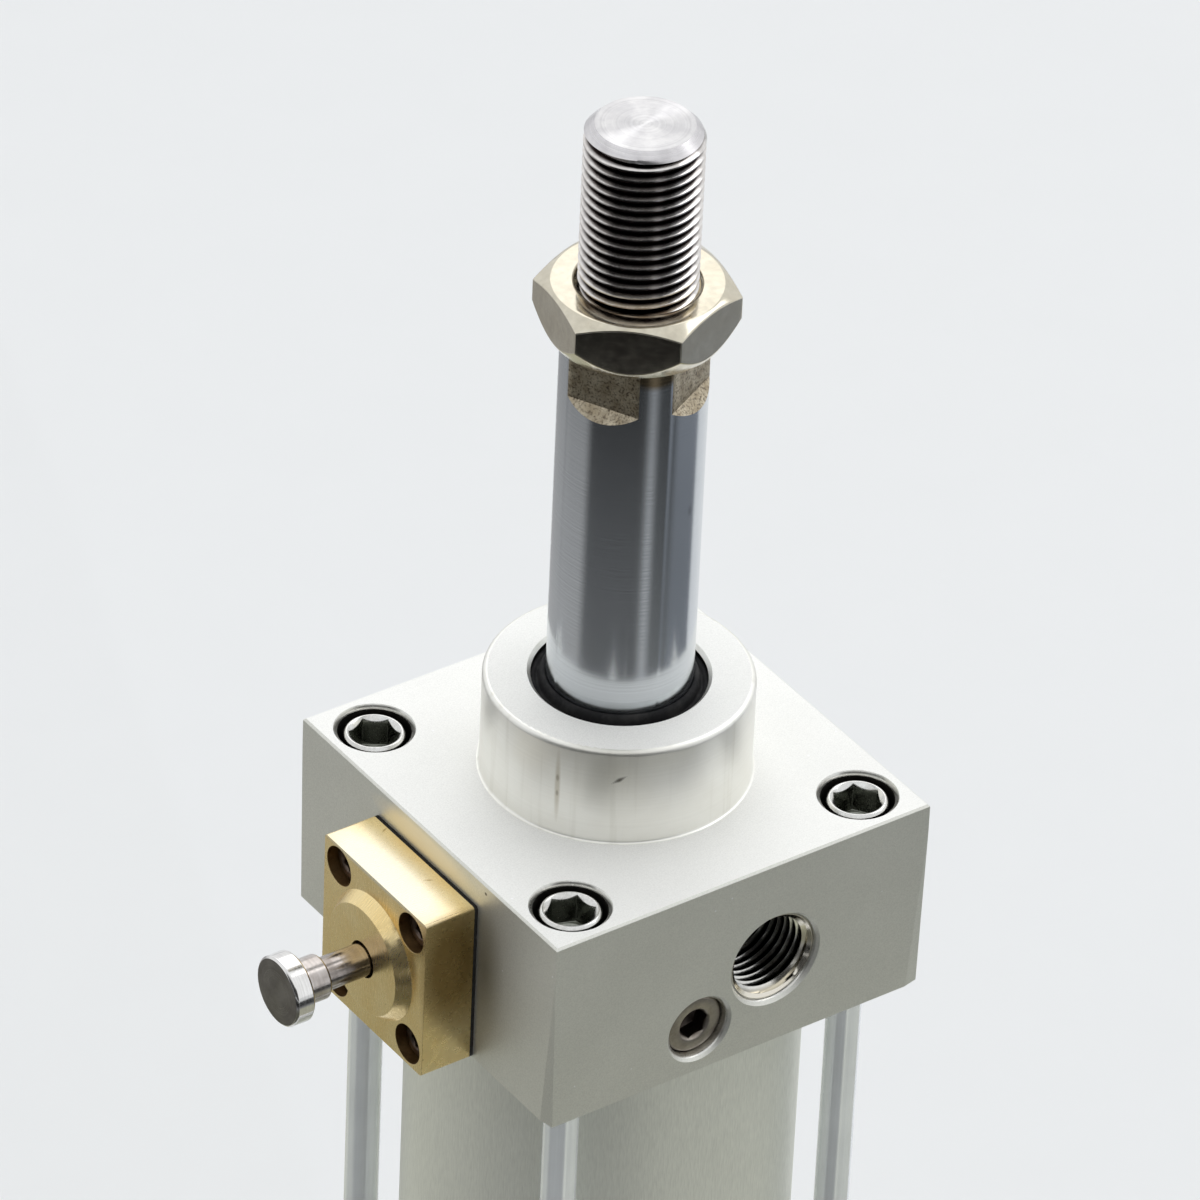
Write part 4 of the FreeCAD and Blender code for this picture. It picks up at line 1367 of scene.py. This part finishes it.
@dataclass
class Barrel:
    """Tube, tie rods and round tie-rod nuts."""

    tube_inner: float = 25.0
    tube_outer: float = 27.4
    rod_radius: float = 2.45
    rod_edge: float = 0.5
    thread_radius: float = 2.675
    rod_sink: float = 11.0
    thread_length: float = 8.0
    nut_radius: float = 4.3
    nut_edge: float = 0.4
    nut_length: float = 16.5
    nut_sink: float = 0.5
    socket: float = 6.05
    socket_depth: float = 4.5
    mouth: float = 3.7
    hole: float = 2.5
    hole_edge: float = 0.3
    ridge: float = 0.4
    ridge_pitch: float = 1.0
    grip: float = 10.5

    def tube(self) -> Object:
        """Makes the tube.

        Returns:
            The piece.
        """
        low, high = COVER_HEIGHT, HEAD_TOP - COVER_HEIGHT
        body = Turned.even(160)
        body.profile([(self.tube_inner, low), (self.tube_outer, low), (self.tube_outer, high),
                      (self.tube_inner, high)])
        piece = rounded(body.piece("tube", Matrix(), TUBE, looped=True), 0.15)
        return hand_over(piece, Body.CYLINDER, "tube_aluminium", "barrel_tube")

    def tie_rods(self, pattern: PatternTree) -> Object:
        """Makes the four tie rods.

        Args:
            pattern: the pattern tree.

        Returns:
            The piece.
        """
        edge, thick = self.rod_edge, self.thread_radius
        low, high = self.rod_sink, HEAD_TOP - self.rod_sink
        first, last = low + self.thread_length, high - self.thread_length
        body = Turned.even(40)
        body.profile([(0, low), (thick - edge, low), (thick, low + edge), (thick, first),
                      (self.rod_radius, first), (self.rod_radius, last),
                      (thick, last), (thick, high - edge), (thick - edge, high), (0, high)])
        item = smoothed(body.piece("tie_rod", Matrix(), ZINC_ROD))
        piece = pattern.four("tie_rods", ZINC_ROD, item, (TIE_PITCH, TIE_PITCH), Matrix())
        return hand_over(piece, Body.CYLINDER, "tie_rod_zinc", *[f"tie_rod_{k}" for k in (1, 2, 3, 4)])

    def nut(self) -> Object:
        """Makes one nut along +Z, with its socket end at the origin.

        Returns:
            The nut, which the pattern copies.
        """
        wall = hexagon(self.socket)
        edge, ridge = self.nut_edge, self.ridge
        body = Turned.even(96)
        body.profile([(self.thread_radius, -self.nut_length), (self.nut_radius, -self.nut_length),
                      (self.nut_radius, -edge), (self.nut_radius - edge, 0.0), (self.mouth, 0.0)])
        body.ring(wall, lambda a: wall(a) - self.mouth)
        body.ring(wall, -self.socket_depth)
        body.profile([(self.hole + self.hole_edge, -self.socket_depth),
                      (self.hole, -self.socket_depth - self.hole_edge)])
        first = self.socket_depth + 2 * ridge
        for k in range(math.ceil((self.grip - first - ridge) / self.ridge_pitch)):
            depth = first + k * self.ridge_pitch
            body.profile([(self.hole, -depth), (self.hole + ridge, -depth - ridge),
                          (self.hole, -depth - 2 * ridge)])
        body.profile([(self.hole, -self.grip), (self.thread_radius, -self.grip)])
        return rounded(body.piece("nut", Matrix(), ZINC_NUT, looped=True), 0.1)

    def nuts(self, pattern: PatternTree, name: str, facing: Facing, level: float) -> Object:
        """Makes the four nuts of a cover.

        Args:
            pattern: the pattern tree.
            name: the node that they stand for.
            facing: way that the sockets face.
            level: height of the socket ends.

        Returns:
            The piece.
        """
        piece = pattern.four(f"{name}_set", ZINC_NUT, self.nut(), (TIE_PITCH, TIE_PITCH),
                             facing.frame(z=level), pattern.SPREAD)
        return hand_over(piece, Body.CYLINDER, "nut_steel", name)

    def build(self, pattern: PatternTree) -> None:
        """Makes the tube, the rods and the nuts.

        Args:
            pattern: the pattern tree.
        """
        self.tube()
        self.tie_rods(pattern)
        self.nuts(pattern, "head_tie_rod_nuts", Facing.UP, HEAD_TOP - self.nut_sink)
        self.nuts(pattern, "rear_tie_rod_nuts", Facing.DOWN, self.nut_sink)


class RodSkin(IntEnum):
    """Finishes of the rod by material index."""

    CHROME = 0
    FLAT = 1
    THREAD = 2
    CHAMFER = 3
    TIP = 4


@dataclass
class RodEnd:
    """Piston rod with its flats and thread, the nut on it and the wiper round it."""

    radius: float = 10.0
    edge: float = 0.5
    seat: float = 8.0
    tail: float = 7.0
    tail_edge: float = 1.0
    tail_low: float = 64.5
    seat_low: float = 78.5
    seat_high: float = 130.5
    flat: float = 8.5
    flat_length: float = 8.9
    flat_runout: float = 1.6
    flat_turn: float = 27.0
    thread: float = 8.0
    thread_root: float = 7.08
    thread_foot: float = 6.9
    thread_sink: float = 0.4
    thread_lead: float = 1.2
    pitch: float = 1.5
    tip_radius: float = 6.6
    chamfer: float = 1.42
    nut_across: float = 24.0
    nut_rim: float = 11.4
    nut_turn: float = 19.5
    nut_hole: float = 7.515
    nut_sink: float = 8.6
    nut_slopes: tuple[float, float] = (30.0, 54.0)
    wiper_inner: float = 10.05
    wiper_outer: float = 12.0
    wiper_depth: float = 5.5
    wiper_shelf: float = 1.2
    wiper_lip: float = 0.2

    def angles(self) -> list[float]:
        """Gives ring points that meet the edges of the four flats.

        Returns:
            The angles, in radians.
        """
        half, parts = math.acos(self.flat / self.radius), 10
        turns = [half * k / parts for k in range(-parts, parts)]
        turns += [half + (QUARTER - 2 * half) * k / parts for k in range(parts)]
        start = math.radians(self.flat_turn)
        return [start + QUARTER * side + turn for side in range(4) for turn in turns]

    def off_flat(self, angle: float) -> float:
        """Gives the angle from the middle of the nearest flat."""
        return (angle - math.radians(self.flat_turn) + QUARTER / 2) % QUARTER - QUARTER / 2

    def flat_radius(self, inset: float = 0.0) -> Callable[[float], float]:
        """Gives the radius of the part with flats.

        Args:
            inset: distance by which it is smaller.

        Returns:
            A function of the angle.
        """
        return lambda angle: min(self.radius, self.flat / math.cos(self.off_flat(angle))) - inset

    def runout(self, angle: float) -> float:
        """Gives the height at which the flat's sloped lower end meets the round rod."""
        depth = max(0.0, self.radius * math.cos(self.off_flat(angle)) - self.flat)
        return SHOULDER - self.flat_length + self.flat_runout * (1 - depth / (self.radius - self.flat))

    def shaft(self) -> Mesh:
        """Makes the rod up to its shoulder.

        Returns:
            The mesh.
        """
        ledge = SHOULDER - self.flat_length + self.flat_runout
        body = Turned(self.angles())
        body.profile([(0, self.tail_low), (self.tail - self.tail_edge, self.tail_low),
                      (self.tail, self.tail_low + self.tail_edge), (self.tail, self.seat_low),
                      (self.seat, self.seat_low), (self.seat, self.seat_high), (self.radius, self.seat_high)])
        body.ring(self.radius, self.runout)
        body.ring(self.flat_radius(), ledge)
        body.ring(self.flat_radius(), SHOULDER - self.edge)
        body.ring(self.flat_radius(self.edge), SHOULDER)
        body.ring(0, SHOULDER)
        return body.mesh("rod", Matrix())

    def threaded_end(self, tree: ThreadTree) -> Object:
        """Makes the threaded end as a closed body.

        Args:
            tree: the thread tree.

        Returns:
            The piece.
        """
        piece = tree.skin("rod_thread", THREAD, steps=120, inside=False, pitch=self.pitch,
                          low=SHOULDER - self.thread_sink, high=ROD_TIP, crest=self.thread,
                          root=self.thread_root, low_radius=self.thread_foot, high_radius=self.tip_radius,
                          lead=self.thread_lead)
        with editing(piece.data) as work:
            open_edges = [e for e in work.edges if e.is_boundary]
            filled = bmesh.ops.holes_fill(work, edges=open_edges, sides=0)["faces"]
            bmesh.ops.recalc_face_normals(work, faces=work.faces)
            for face in work.faces:
                bevelled = face.calc_center_median().z > (ROD_TIP - self.chamfer) * MM
                face.material_index = RodSkin.CHAMFER if bevelled else RodSkin.THREAD
            for face in filled:
                face.material_index = RodSkin.TIP
        return piece

    def rod(self, tree: ThreadTree) -> Object:
        """Makes the whole rod.

        Args:
            tree: the thread tree.

        Returns:
            The piece.
        """
        end = self.threaded_end(tree)
        mesh = self.shaft()
        sharp = math.radians(40.0)
        flats_low, flats_within = SHOULDER - self.flat_length - 0.01, self.radius - 0.05
        with editing(mesh) as work:
            for face in work.faces:
                centre = face.calc_center_median() / MM
                milled = centre.z > flats_low and centre.xy.length < flats_within
                face.material_index = RodSkin.FLAT if milled else RodSkin.CHROME
            work.from_mesh(end.data)
            for edge in work.edges:
                skins = {face.material_index for face in edge.link_faces}
                round_tip = RodSkin.TIP in skins and len(skins) > 1
                edge.smooth = not (round_tip or edge.calc_face_angle(0.0) > sharp)
        mesh.shade_smooth()
        bpy.data.objects.remove(end)
        piece = linked("rod", mesh, CHROME, FLATS, THREAD, CHAMFER, TIP)
        return hand_over(piece, Body.ROD, "rod_chrome", "piston_rod")

    def nut(self) -> Object:
        """Makes the hex nut with a cone on both ends and a countersunk hole.

        Returns:
            The piece.
        """
        wall = hexagon(self.nut_across, self.nut_turn)
        upper, lower = (math.tan(math.radians(slope)) for slope in self.nut_slopes)
        sink = self.nut_sink - self.nut_hole
        body = Turned.even(96, self.nut_turn)
        body.profile([(self.nut_hole, SHOULDER + sink), (self.nut_sink, SHOULDER), (self.nut_rim, SHOULDER)])
        body.ring(wall, lambda a: SHOULDER + max(0.0, (wall(a) - self.nut_rim) * lower))
        body.ring(wall, lambda a: END_NUT_TOP - max(0.0, (wall(a) - self.nut_rim) * upper))
        body.profile([(self.nut_rim, END_NUT_TOP), (self.nut_sink, END_NUT_TOP),
                      (self.nut_hole, END_NUT_TOP - sink)])
        piece = rounded(body.piece("end_nut", Matrix(), NICKEL, looped=True), 0.22, least=25.0)
        return hand_over(piece, Body.ROD, "nut_nickel", "rod_end_nut")

    def wiper(self) -> Object:
        """Makes the wiper with its raised lip.

        Returns:
            The piece.
        """
        inner, outer, low = self.wiper_inner, self.wiper_outer, COLLAR_TOP - self.wiper_depth
        shelf, lip = COLLAR_TOP - self.wiper_shelf, COLLAR_TOP + self.wiper_lip
        body = Turned.even(128)
        body.profile([(inner + 0.6, low), (outer, low), (outer, shelf), (outer - 0.5, shelf),
                      (outer - 0.75, shelf - 0.25), (inner + 0.85, shelf - 0.1), (inner + 0.75, lip - 0.5),
                      (inner + 0.45, lip), (inner + 0.1, lip), (inner, lip - 0.15), (inner, low + 0.6)])
        piece = rounded(body.piece("wiper", Matrix(), SEAL, looped=True), 0.12, least=30.0)
        return hand_over(piece, Body.CYLINDER, "seal_rubber", "rod_wiper_seal")

    def build(self, tree: ThreadTree) -> None:
        """Makes the rod, its nut and the wiper.

        Args:
            tree: the thread tree.
        """
        self.rod(tree)
        self.nut()
        self.wiper()


class PinSkin(IntEnum):
    """Finishes of the pull pin by material index. The stem, neck and face take darker copies of the rim's
    steel as painted shade.
    """

    RIM = 0
    FACE = 1
    STEM = 2
    NECK = 3


@dataclass
class LockUnit:
    """Lock cap with its screws, and the pull pin."""

    screw_pitch: tuple[float, float] = (18.7, 17.4)
    seat: float = 34.3
    bore: float = 2.9
    head_radius: float = 2.75
    head_length: float = 3.0
    shank: float = 1.25
    length: float = 10.0
    head_edge: float = 0.3
    key: float = 2.5
    key_mouth: float = 1.55
    key_depth: float = 1.5
    key_cone: float = 0.4
    pin_tail: float = 23.4
    tail_radius: float = 2.0
    pin_foot: float = 28.4
    tip: float = 54.2
    stem: float = 2.35
    collar: float = 3.2
    collar_length: float = 3.9
    disc: float = 5.05
    disc_length: float = 3.0
    pin_edge: float = 0.3
    centre_mark: float = 0.35
    centre_depth: float = 0.12

    def cap(self) -> Object:
        """Makes the cap from its node, with broken edges and painted shade in its screw bores.

        Returns:
            The piece.
        """
        piece = linked("lock_cap_block", merged_copy("lock_cap"), BRASS, BORE_PAINTED_SHADE)
        for face in piece.data.polygons:
            _, y, z = face.center / MM
            off = math.hypot(abs(y) - self.screw_pitch[1] / 2, abs(z - LOCK_Z) - self.screw_pitch[0] / 2)
            face.material_index = int(off < self.bore + 0.01)
        rounded(piece, 0.18, least=30.0)
        return hand_over(piece, Body.CYLINDER, "lock_brass", "lock_cap")

    def screws(self, pattern: PatternTree) -> Object:
        """Makes the four cap screws.

        Args:
            pattern: the pattern tree.

        Returns:
            The piece.
        """
        socket = hexagon(self.key)
        top, edge = self.head_length, self.head_edge
        body = Turned.even(60)
        body.profile([(0, -self.length), (self.shank, -self.length), (self.shank, 0), (self.head_radius, 0),
                      (self.head_radius, top - edge), (self.head_radius - edge, top), (self.key_mouth, top)])
        body.ring(socket, lambda a: top - (self.key_mouth - socket(a)))
        body.ring(socket, top - self.key_depth)
        body.ring(0, top - self.key_depth - self.key_cone)
        item = rounded(body.piece("cap_screw", Matrix(), SCREW), 0.06)
        piece = pattern.four("cap_screw_set", SCREW, item, self.screw_pitch,
                             Facing.LOCK_SIDE.frame(-self.seat, 0.0, LOCK_Z), pattern.SPREAD)
        return hand_over(piece, Body.CYLINDER, "screw_steel", "lock_cap_screws")

    def pin(self) -> Object:
        """Makes the pull pin with its stem, collar and disc.

        Returns:
            The piece.
        """
        edge = self.pin_edge
        disc_low = self.tip - self.disc_length
        collar_low = disc_low - self.collar_length
        body = Turned.even(96)
        body.profile([(0, self.pin_tail), (self.tail_radius, self.pin_tail),
                      (self.tail_radius, self.pin_foot), (self.stem, self.pin_foot),
                      (self.stem, collar_low)], PinSkin.STEM)
        body.profile([(self.collar - edge, collar_low), (self.collar, collar_low + edge),
                      (self.collar, disc_low)], PinSkin.NECK)
        body.profile([(self.disc - edge, disc_low), (self.disc, disc_low + edge),
                      (self.disc, self.tip - edge), (self.disc - edge, self.tip)], PinSkin.RIM)
        body.profile([(self.centre_mark, self.tip), (0, self.tip - self.centre_depth)], PinSkin.FACE)
        piece = body.piece("pull_pin", Facing.LOCK_SIDE.frame(z=LOCK_Z), PIN, PIN_FACE_PAINTED_SHADE, STEM, NECK)
        rounded(piece, 0.1, least=30.0)
        return hand_over(piece, Body.LOCK, "pin_steel", "lock_pull_pin")

    def build(self, pattern: PatternTree) -> None:
        """Makes the cap, its screws and the pin.

        Args:
            pattern: the pattern tree.
        """
        self.cap()
        self.screws(pattern)
        self.pin()


@dataclass
class Needles:
    """Cushion needles with their hex sockets."""

    face: float = 29.3
    foot: float = 25.0
    head: float = 4.5
    guide: float = 3.3
    neck: float = 2.0
    ring_high: float = 23.5
    ring_low: float = 21.8
    cone_end: float = 19.2
    cone: float = 1.6
    tip: float = 16.2
    tip_radius: float = 0.55
    key: float = 4.0
    key_depth: float = 2.6
    key_cone: float = 0.5
    key_turn: float = 12.0
    mouth: float = 2.5
    edge: float = 0.4
    level: float = 23.1

    def needle(self, name: str, level: float, body: Body, node: str) -> Object:
        """Makes one needle.

        Args:
            name: the piece's name.
            level: height of its axis.
            body: the body that it moves with.
            node: the node that it stands for.

        Returns:
            The piece.
        """
        socket = hexagon(self.key, self.key_turn)
        form = Turned.even(96, self.key_turn)
        form.profile([(0, self.tip), (self.tip_radius, self.tip), (self.cone, self.cone_end),
                      (self.guide, self.cone_end), (self.guide, self.ring_low), (self.neck, self.ring_low),
                      (self.neck, self.ring_high), (self.guide, self.ring_high), (self.guide, self.foot),
                      (self.head, self.foot), (self.head, self.face - self.edge),
                      (self.head - self.edge, self.face), (self.mouth, self.face)])
        form.ring(socket, lambda a: self.face - self.mouth + socket(a))
        form.ring(socket, self.face - self.key_depth)
        form.ring(0, self.face - self.key_depth - self.key_cone)
        piece = form.piece(name, Facing.PORT_SIDE.frame(NEEDLE_X, 0.0, level), NEEDLE)
        rounded(piece, 0.1, least=30.0)
        return hand_over(piece, body, "needle_steel", node)

    def build(self) -> None:
        """Makes both needles."""
        self.needle("head_needle_screw", HEAD_TOP - self.level, Body.HEAD_NEEDLE, "head_cushion_needle")
        self.needle("rear_needle_screw", self.level, Body.REAR_NEEDLE, "rear_cushion_needle")


@dataclass
class InnerPieces:
    """Pieces inside the cylinder, which keep their nodes and get a finish."""

    rubber: tuple[str, ...] = ("head_tube_oring", "rear_tube_oring", "rod_seal", "head_cushion_seal",
                               "rear_cushion_seal", "lock_plunger_seal", "head_needle_oring",
                               "rear_needle_oring", "piston_oring", "piston_seal_front", "piston_seal_rear")

    def build(self) -> None:
        """Gives each node its finish."""
        finishes = {name: SEAL for name in self.rubber}
        finishes |= {"lock_gasket": GASKET, "rod_bush": BRONZE, "lock_spring": GROUND, "lock_plunger": GROUND,
                     "piston": MACHINED, "piston_wear_ring": GUIDE, "lock_sleeve": GROUND,
                     "rear_cushion_spear": GROUND}
        for name, finish in finishes.items():
            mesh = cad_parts[name].data
            mesh.materials.clear()
            mesh.materials.append(Finishes.of(finish))
            LOG.info("%s: %s", name, finish.name)


def direction(azimuth: float, elevation: float = 0.0) -> Vector:
    """Gives the unit vector from the cylinder towards a place in the room.

    Args:
        azimuth: angle from -Y towards +X, in degrees.
        elevation: angle above the horizon, in degrees.

    Returns:
        The vector.
    """
    a, e = math.radians(azimuth), math.radians(elevation)
    return Vector((math.sin(a) * math.cos(e), -math.cos(a) * math.cos(e), math.sin(e)))


@dataclass(frozen=True)
class Card:
    """Grey card on the floor between two azimuths, with its tone close by and its tones further out."""

    start: float
    end: float
    near: float
    tones: Triple
    tint: Colour = WHITE


@dataclass(frozen=True)
class Panel:
    """Square light that looks at the cylinder, in degrees and metres, with a glow of 1 where it is white."""

    name: str
    azimuth: float
    elevation: float
    distance: float
    size: float
    glow: float
    mirrored: bool = False
    aim: float = 0.2

    def place(self) -> Matrix:
        """Gives the panel's place, with its back along +Z.

        Returns:
            The place, in metres.
        """
        way = direction(self.azimuth, self.elevation)
        turn = way.to_track_quat("Z", "Y").to_matrix().to_4x4()
        return Matrix.Translation(Vector((0, 0, self.aim)) + way * self.distance) @ turn

    def hang(self) -> None:
        """Hangs the panel as a soft lamp, which metal shows only where it is mirrored."""
        data = bpy.data.lights.new(self.name, "AREA")
        data.size = self.size
        data.energy = self.glow * math.pi * self.size * self.size
        lamp = bpy.data.objects.new(self.name, data)
        lamp.matrix_world = self.place()
        lamp.visible_camera = False
        lamp.visible_glossy = self.mirrored
        bpy.context.scene.collection.objects.link(lamp)


class Flags:
    """Sheets that only metal shows, with a tone at each point."""

    def __init__(self) -> None:
        """Starts with no sheet."""
        self.points: list[Vector] = []
        self.tones: list[Colour] = []
        self.faces: list[tuple[int, ...]] = []

    def sheet(self, columns: Sequence[Sequence[Vector]], tones: Sequence[Sequence[Colour]]) -> None:
        """Adds a sheet between columns of points.

        Args:
            columns: the points, column by column, in metres.
            tones: a tone for each point, in the same order.
        """
        start, rows = len(self.points), len(columns[0])
        for column, shades in zip(columns, tones):
            self.points += column
            self.tones += shades
        for corner in range(start + rows, len(self.points)):
            if (corner - start + 1) % rows:
                self.faces.append((corner, corner + 1, corner + 1 - rows, corner - rows))

    def material(self) -> bpy.types.Material:
        """Makes the sheets' material, which glows with the tone of each point.

        Returns:
            The material.
        """
        surface = Surface("studio_card")
        tone = surface.add("ShaderNodeAttribute", attribute_name="tone")
        glow = surface.add("ShaderNodeEmission")
        surface.feed(glow.inputs["Color"], tone.outputs["Color"])
        surface.feed(surface.output.inputs["Surface"], glow.outputs[0])
        return surface.material

    def stand(self) -> None:
        """Puts the sheets into the studio."""
        mesh = bpy.data.meshes.new("flags")
        mesh.from_pydata(self.points, [], self.faces)
        layer = mesh.attributes.new("tone", "FLOAT_COLOR", "POINT")
        for item, tone in zip(layer.data, self.tones):
            item.color = (*tone, 1.0)
        mesh.materials.append(self.material())
        cards = linked("flags", mesh)
        cards.visible_camera = False
        cards.visible_diffuse = False
        cards.visible_shadow = False
        cards.visible_transmission = False


@dataclass
class Studio:
    """Floor, flags, lamps, world and camera, in degrees and metres, the camera's target in millimetres."""

    azimuth: float = -36.162
    elevation: float = 35.254
    roll: float = 2.615
    lens: float = 276.77
    clip: tuple[float, float] = (0.01, 100.0)
    target: Triple = (2.08, 21.797, 1247.656)
    floor_size: float = 12.0
    floor_drop: float = 2e-4
    room_colour: Colour = (0.97, 0.985, 1.0)
    room_light: float = 0.65
    room_seen: float = 0.25
    card_rings: tuple[float, ...] = (0.10, 0.26, 0.30, 0.355, 0.40, 0.95)
    card_step: float = 2.0
    card_fade: float = 12.0
    card_lift: float = 5e-4
    near_tint: Colour = (1.0, 1.01, 0.82)
    cards: tuple[Card, ...] = (
        Card(-200.0, -146.0, 0.48, (0.48, 0.44, 0.36)),
        Card(-146.0, -102.0, 0.30, (0.46, 0.44, 0.28)),
        Card(-102.0, -9.0, 0.10, (0.20, 0.14, 0.012), tint=(0.98, 1.0, 1.03)),
        Card(-9.0, 2.0, 0.55, (0.50, 0.60, 0.30), tint=(0.98, 1.0, 1.03)),
        Card(2.0, 34.0, 0.38, (0.20, 0.115, 0.04), tint=(0.96, 1.0, 1.06)),
        Card(34.0, 84.0, 0.42, (0.25, 0.18, 0.28), tint=(0.93, 1.0, 1.12)),
    )
    screen_span: tuple[float, float] = (-100.0, 14.0)
    screen_steps: int = 12
    screen_distance: float = 1.45
    screen_height: float = 1.1
    screen_tone: Colour = (0.05, 0.05, 0.05)
    back_sheet: Panel = Panel("back_sheet", 150.0, 48.0, 1.5, 1.2, 1.52)
    lamps: tuple[Panel, ...] = (
        Panel("back_softbox", 150.0, 48.0, 1.5, 1.2, 0.55),
        Panel("left_softbox", -120.0, 40.0, 1.6, 0.9, 0.7),
        Panel("right_softbox", 82.0, 47.0, 1.6, 0.9, 1.4, mirrored=True),
        Panel("top_softbox", 144.0, 80.0, 1.6, 1.0, 1.65),
    )

    def floor(self) -> None:
        """Makes the floor, a little below the rear cover."""
        half = self.floor_size / 2
        mesh = bpy.data.meshes.new("floor")
        corners = [(-half, -half), (half, -half), (half, half), (-half, half)]
        mesh.from_pydata([(x, y, -self.floor_drop) for x, y in corners], [], [(0, 1, 2, 3)])
        linked("floor", mesh, StudioPaper())

    def tones_at(self, angle: float) -> list[Colour]:
        """Gives the tones along the cards' rings, with soft borders between the cards.

        Args:
            angle: azimuth, in degrees.

        Returns:
            A tone for each ring.
        """
        total, shares = [Vector(BLACK) for _ in self.card_rings], 0.0
        for card in self.cards:
            rooms = (angle - card.start, card.end - angle)
            share = math.prod(min(1.0, max(0.0, room / self.card_fade + 0.5)) for room in rooms)
            row = [tuple(card.near * t for t in self.near_tint)] * 2
            row += [tuple(tone * t for t in card.tint) for tone in (*card.tones, card.tones[-1])]
            total = [t + share * Vector(tone) for t, tone in zip(total, row)]
            shares += share
        return [tuple(t / shares) for t in total]

    def flags(self) -> None:
        """Stands up what the metal mirrors: cards on the floor, a dark screen in front, a sheet behind."""
        flags = Flags()
        low, high = self.cards[0].start, self.cards[-1].end
        steps = round((high - low) / self.card_step)
        angles = [low + (high - low) * k / steps for k in range(steps + 1)]
        lift = Vector((0, 0, self.card_lift))
        flags.sheet([[direction(angle) * r + lift for r in self.card_rings] for angle in angles],
                    [self.tones_at(angle) for angle in angles])
        left, right = self.screen_span
        angles = [left + (right - left) * k / self.screen_steps for k in range(self.screen_steps + 1)]
        ends = [Vector((0, 0, z)) for z in (0.0, self.screen_height)]
        flags.sheet([[direction(angle) * self.screen_distance + end for end in ends] for angle in angles],
                    [[self.screen_tone] * 2 for _ in angles])
        place, half = self.back_sheet.place(), self.back_sheet.size / 2
        flags.sheet([[place @ Vector((x, y, 0)) for y in (-half, half)] for x in (-half, half)],
                    [[(self.back_sheet.glow,) * 3] * 2] * 2)
        flags.stand()

    def world(self) -> None:
        """Fills the room with pale light."""
        world = bpy.data.worlds.new("room")
        bpy.context.scene.world = world
        world.use_nodes = True
        sky = Wiring(world.node_tree)
        world.node_tree.nodes.clear()
        path = sky.add("ShaderNodeLightPath").outputs
        seen = path["Is Camera Ray"]
        for ray in ("Is Glossy Ray", "Is Transmission Ray"):
            seen = sky.math("MAXIMUM", seen, path[ray])
        back = sky.add("ShaderNodeBackground")
        back.inputs["Color"].default_value = (*self.room_colour, 1.0)
        sky.feed(back.inputs["Strength"], sky.math("MULTIPLY_ADD", seen, self.room_seen, self.room_light))
        sky.feed(sky.add("ShaderNodeOutputWorld").inputs["Surface"], back.outputs[0])

    def camera(self) -> None:
        """Sets the camera at the photograph's viewing angle."""
        roll = math.radians(self.roll)
        forward = -direction(self.azimuth, self.elevation)
        level_right = forward.cross(Vector((0, 0, 1))).normalized()
        level_down = forward.cross(level_right)
        right = math.cos(roll) * level_right - math.sin(roll) * level_down
        down = math.sin(roll) * level_right + math.cos(roll) * level_down
        x, y, z = (v * MM for v in self.target)
        place = Vector((0, 0, HEAD_TOP * MM)) - right * x - down * y - forward * z
        data = bpy.data.cameras.new("camera")
        data.lens = self.lens
        data.clip_start, data.clip_end = self.clip
        camera = bpy.data.objects.new("camera", data)
        turn = Matrix((right, -down, -forward)).transposed()
        camera.matrix_world = Matrix.Translation(place) @ turn.to_4x4()
        bpy.context.scene.collection.objects.link(camera)
        bpy.context.scene.camera = camera

    def build(self) -> None:
        """Makes the studio."""
        self.floor()
        self.flags()
        for lamp in self.lamps:
            lamp.hang()
        self.world()
        self.camera()
        bpy.context.scene.view_settings.view_transform = "Standard"


def main() -> None:
    """Builds the studio and each sub-assembly."""
    logging.basicConfig(level=logging.INFO, format="%(message)s")
    thread = ThreadTree()
    pattern = PatternTree()
    Studio().build()
    Covers().build()
    Ports().build(thread)
    Barrel().build(pattern)
    RodEnd().build(thread)
    LockUnit().build(pattern)
    Needles().build()
    InnerPieces().build()


if __name__ == "__main__":
    main()
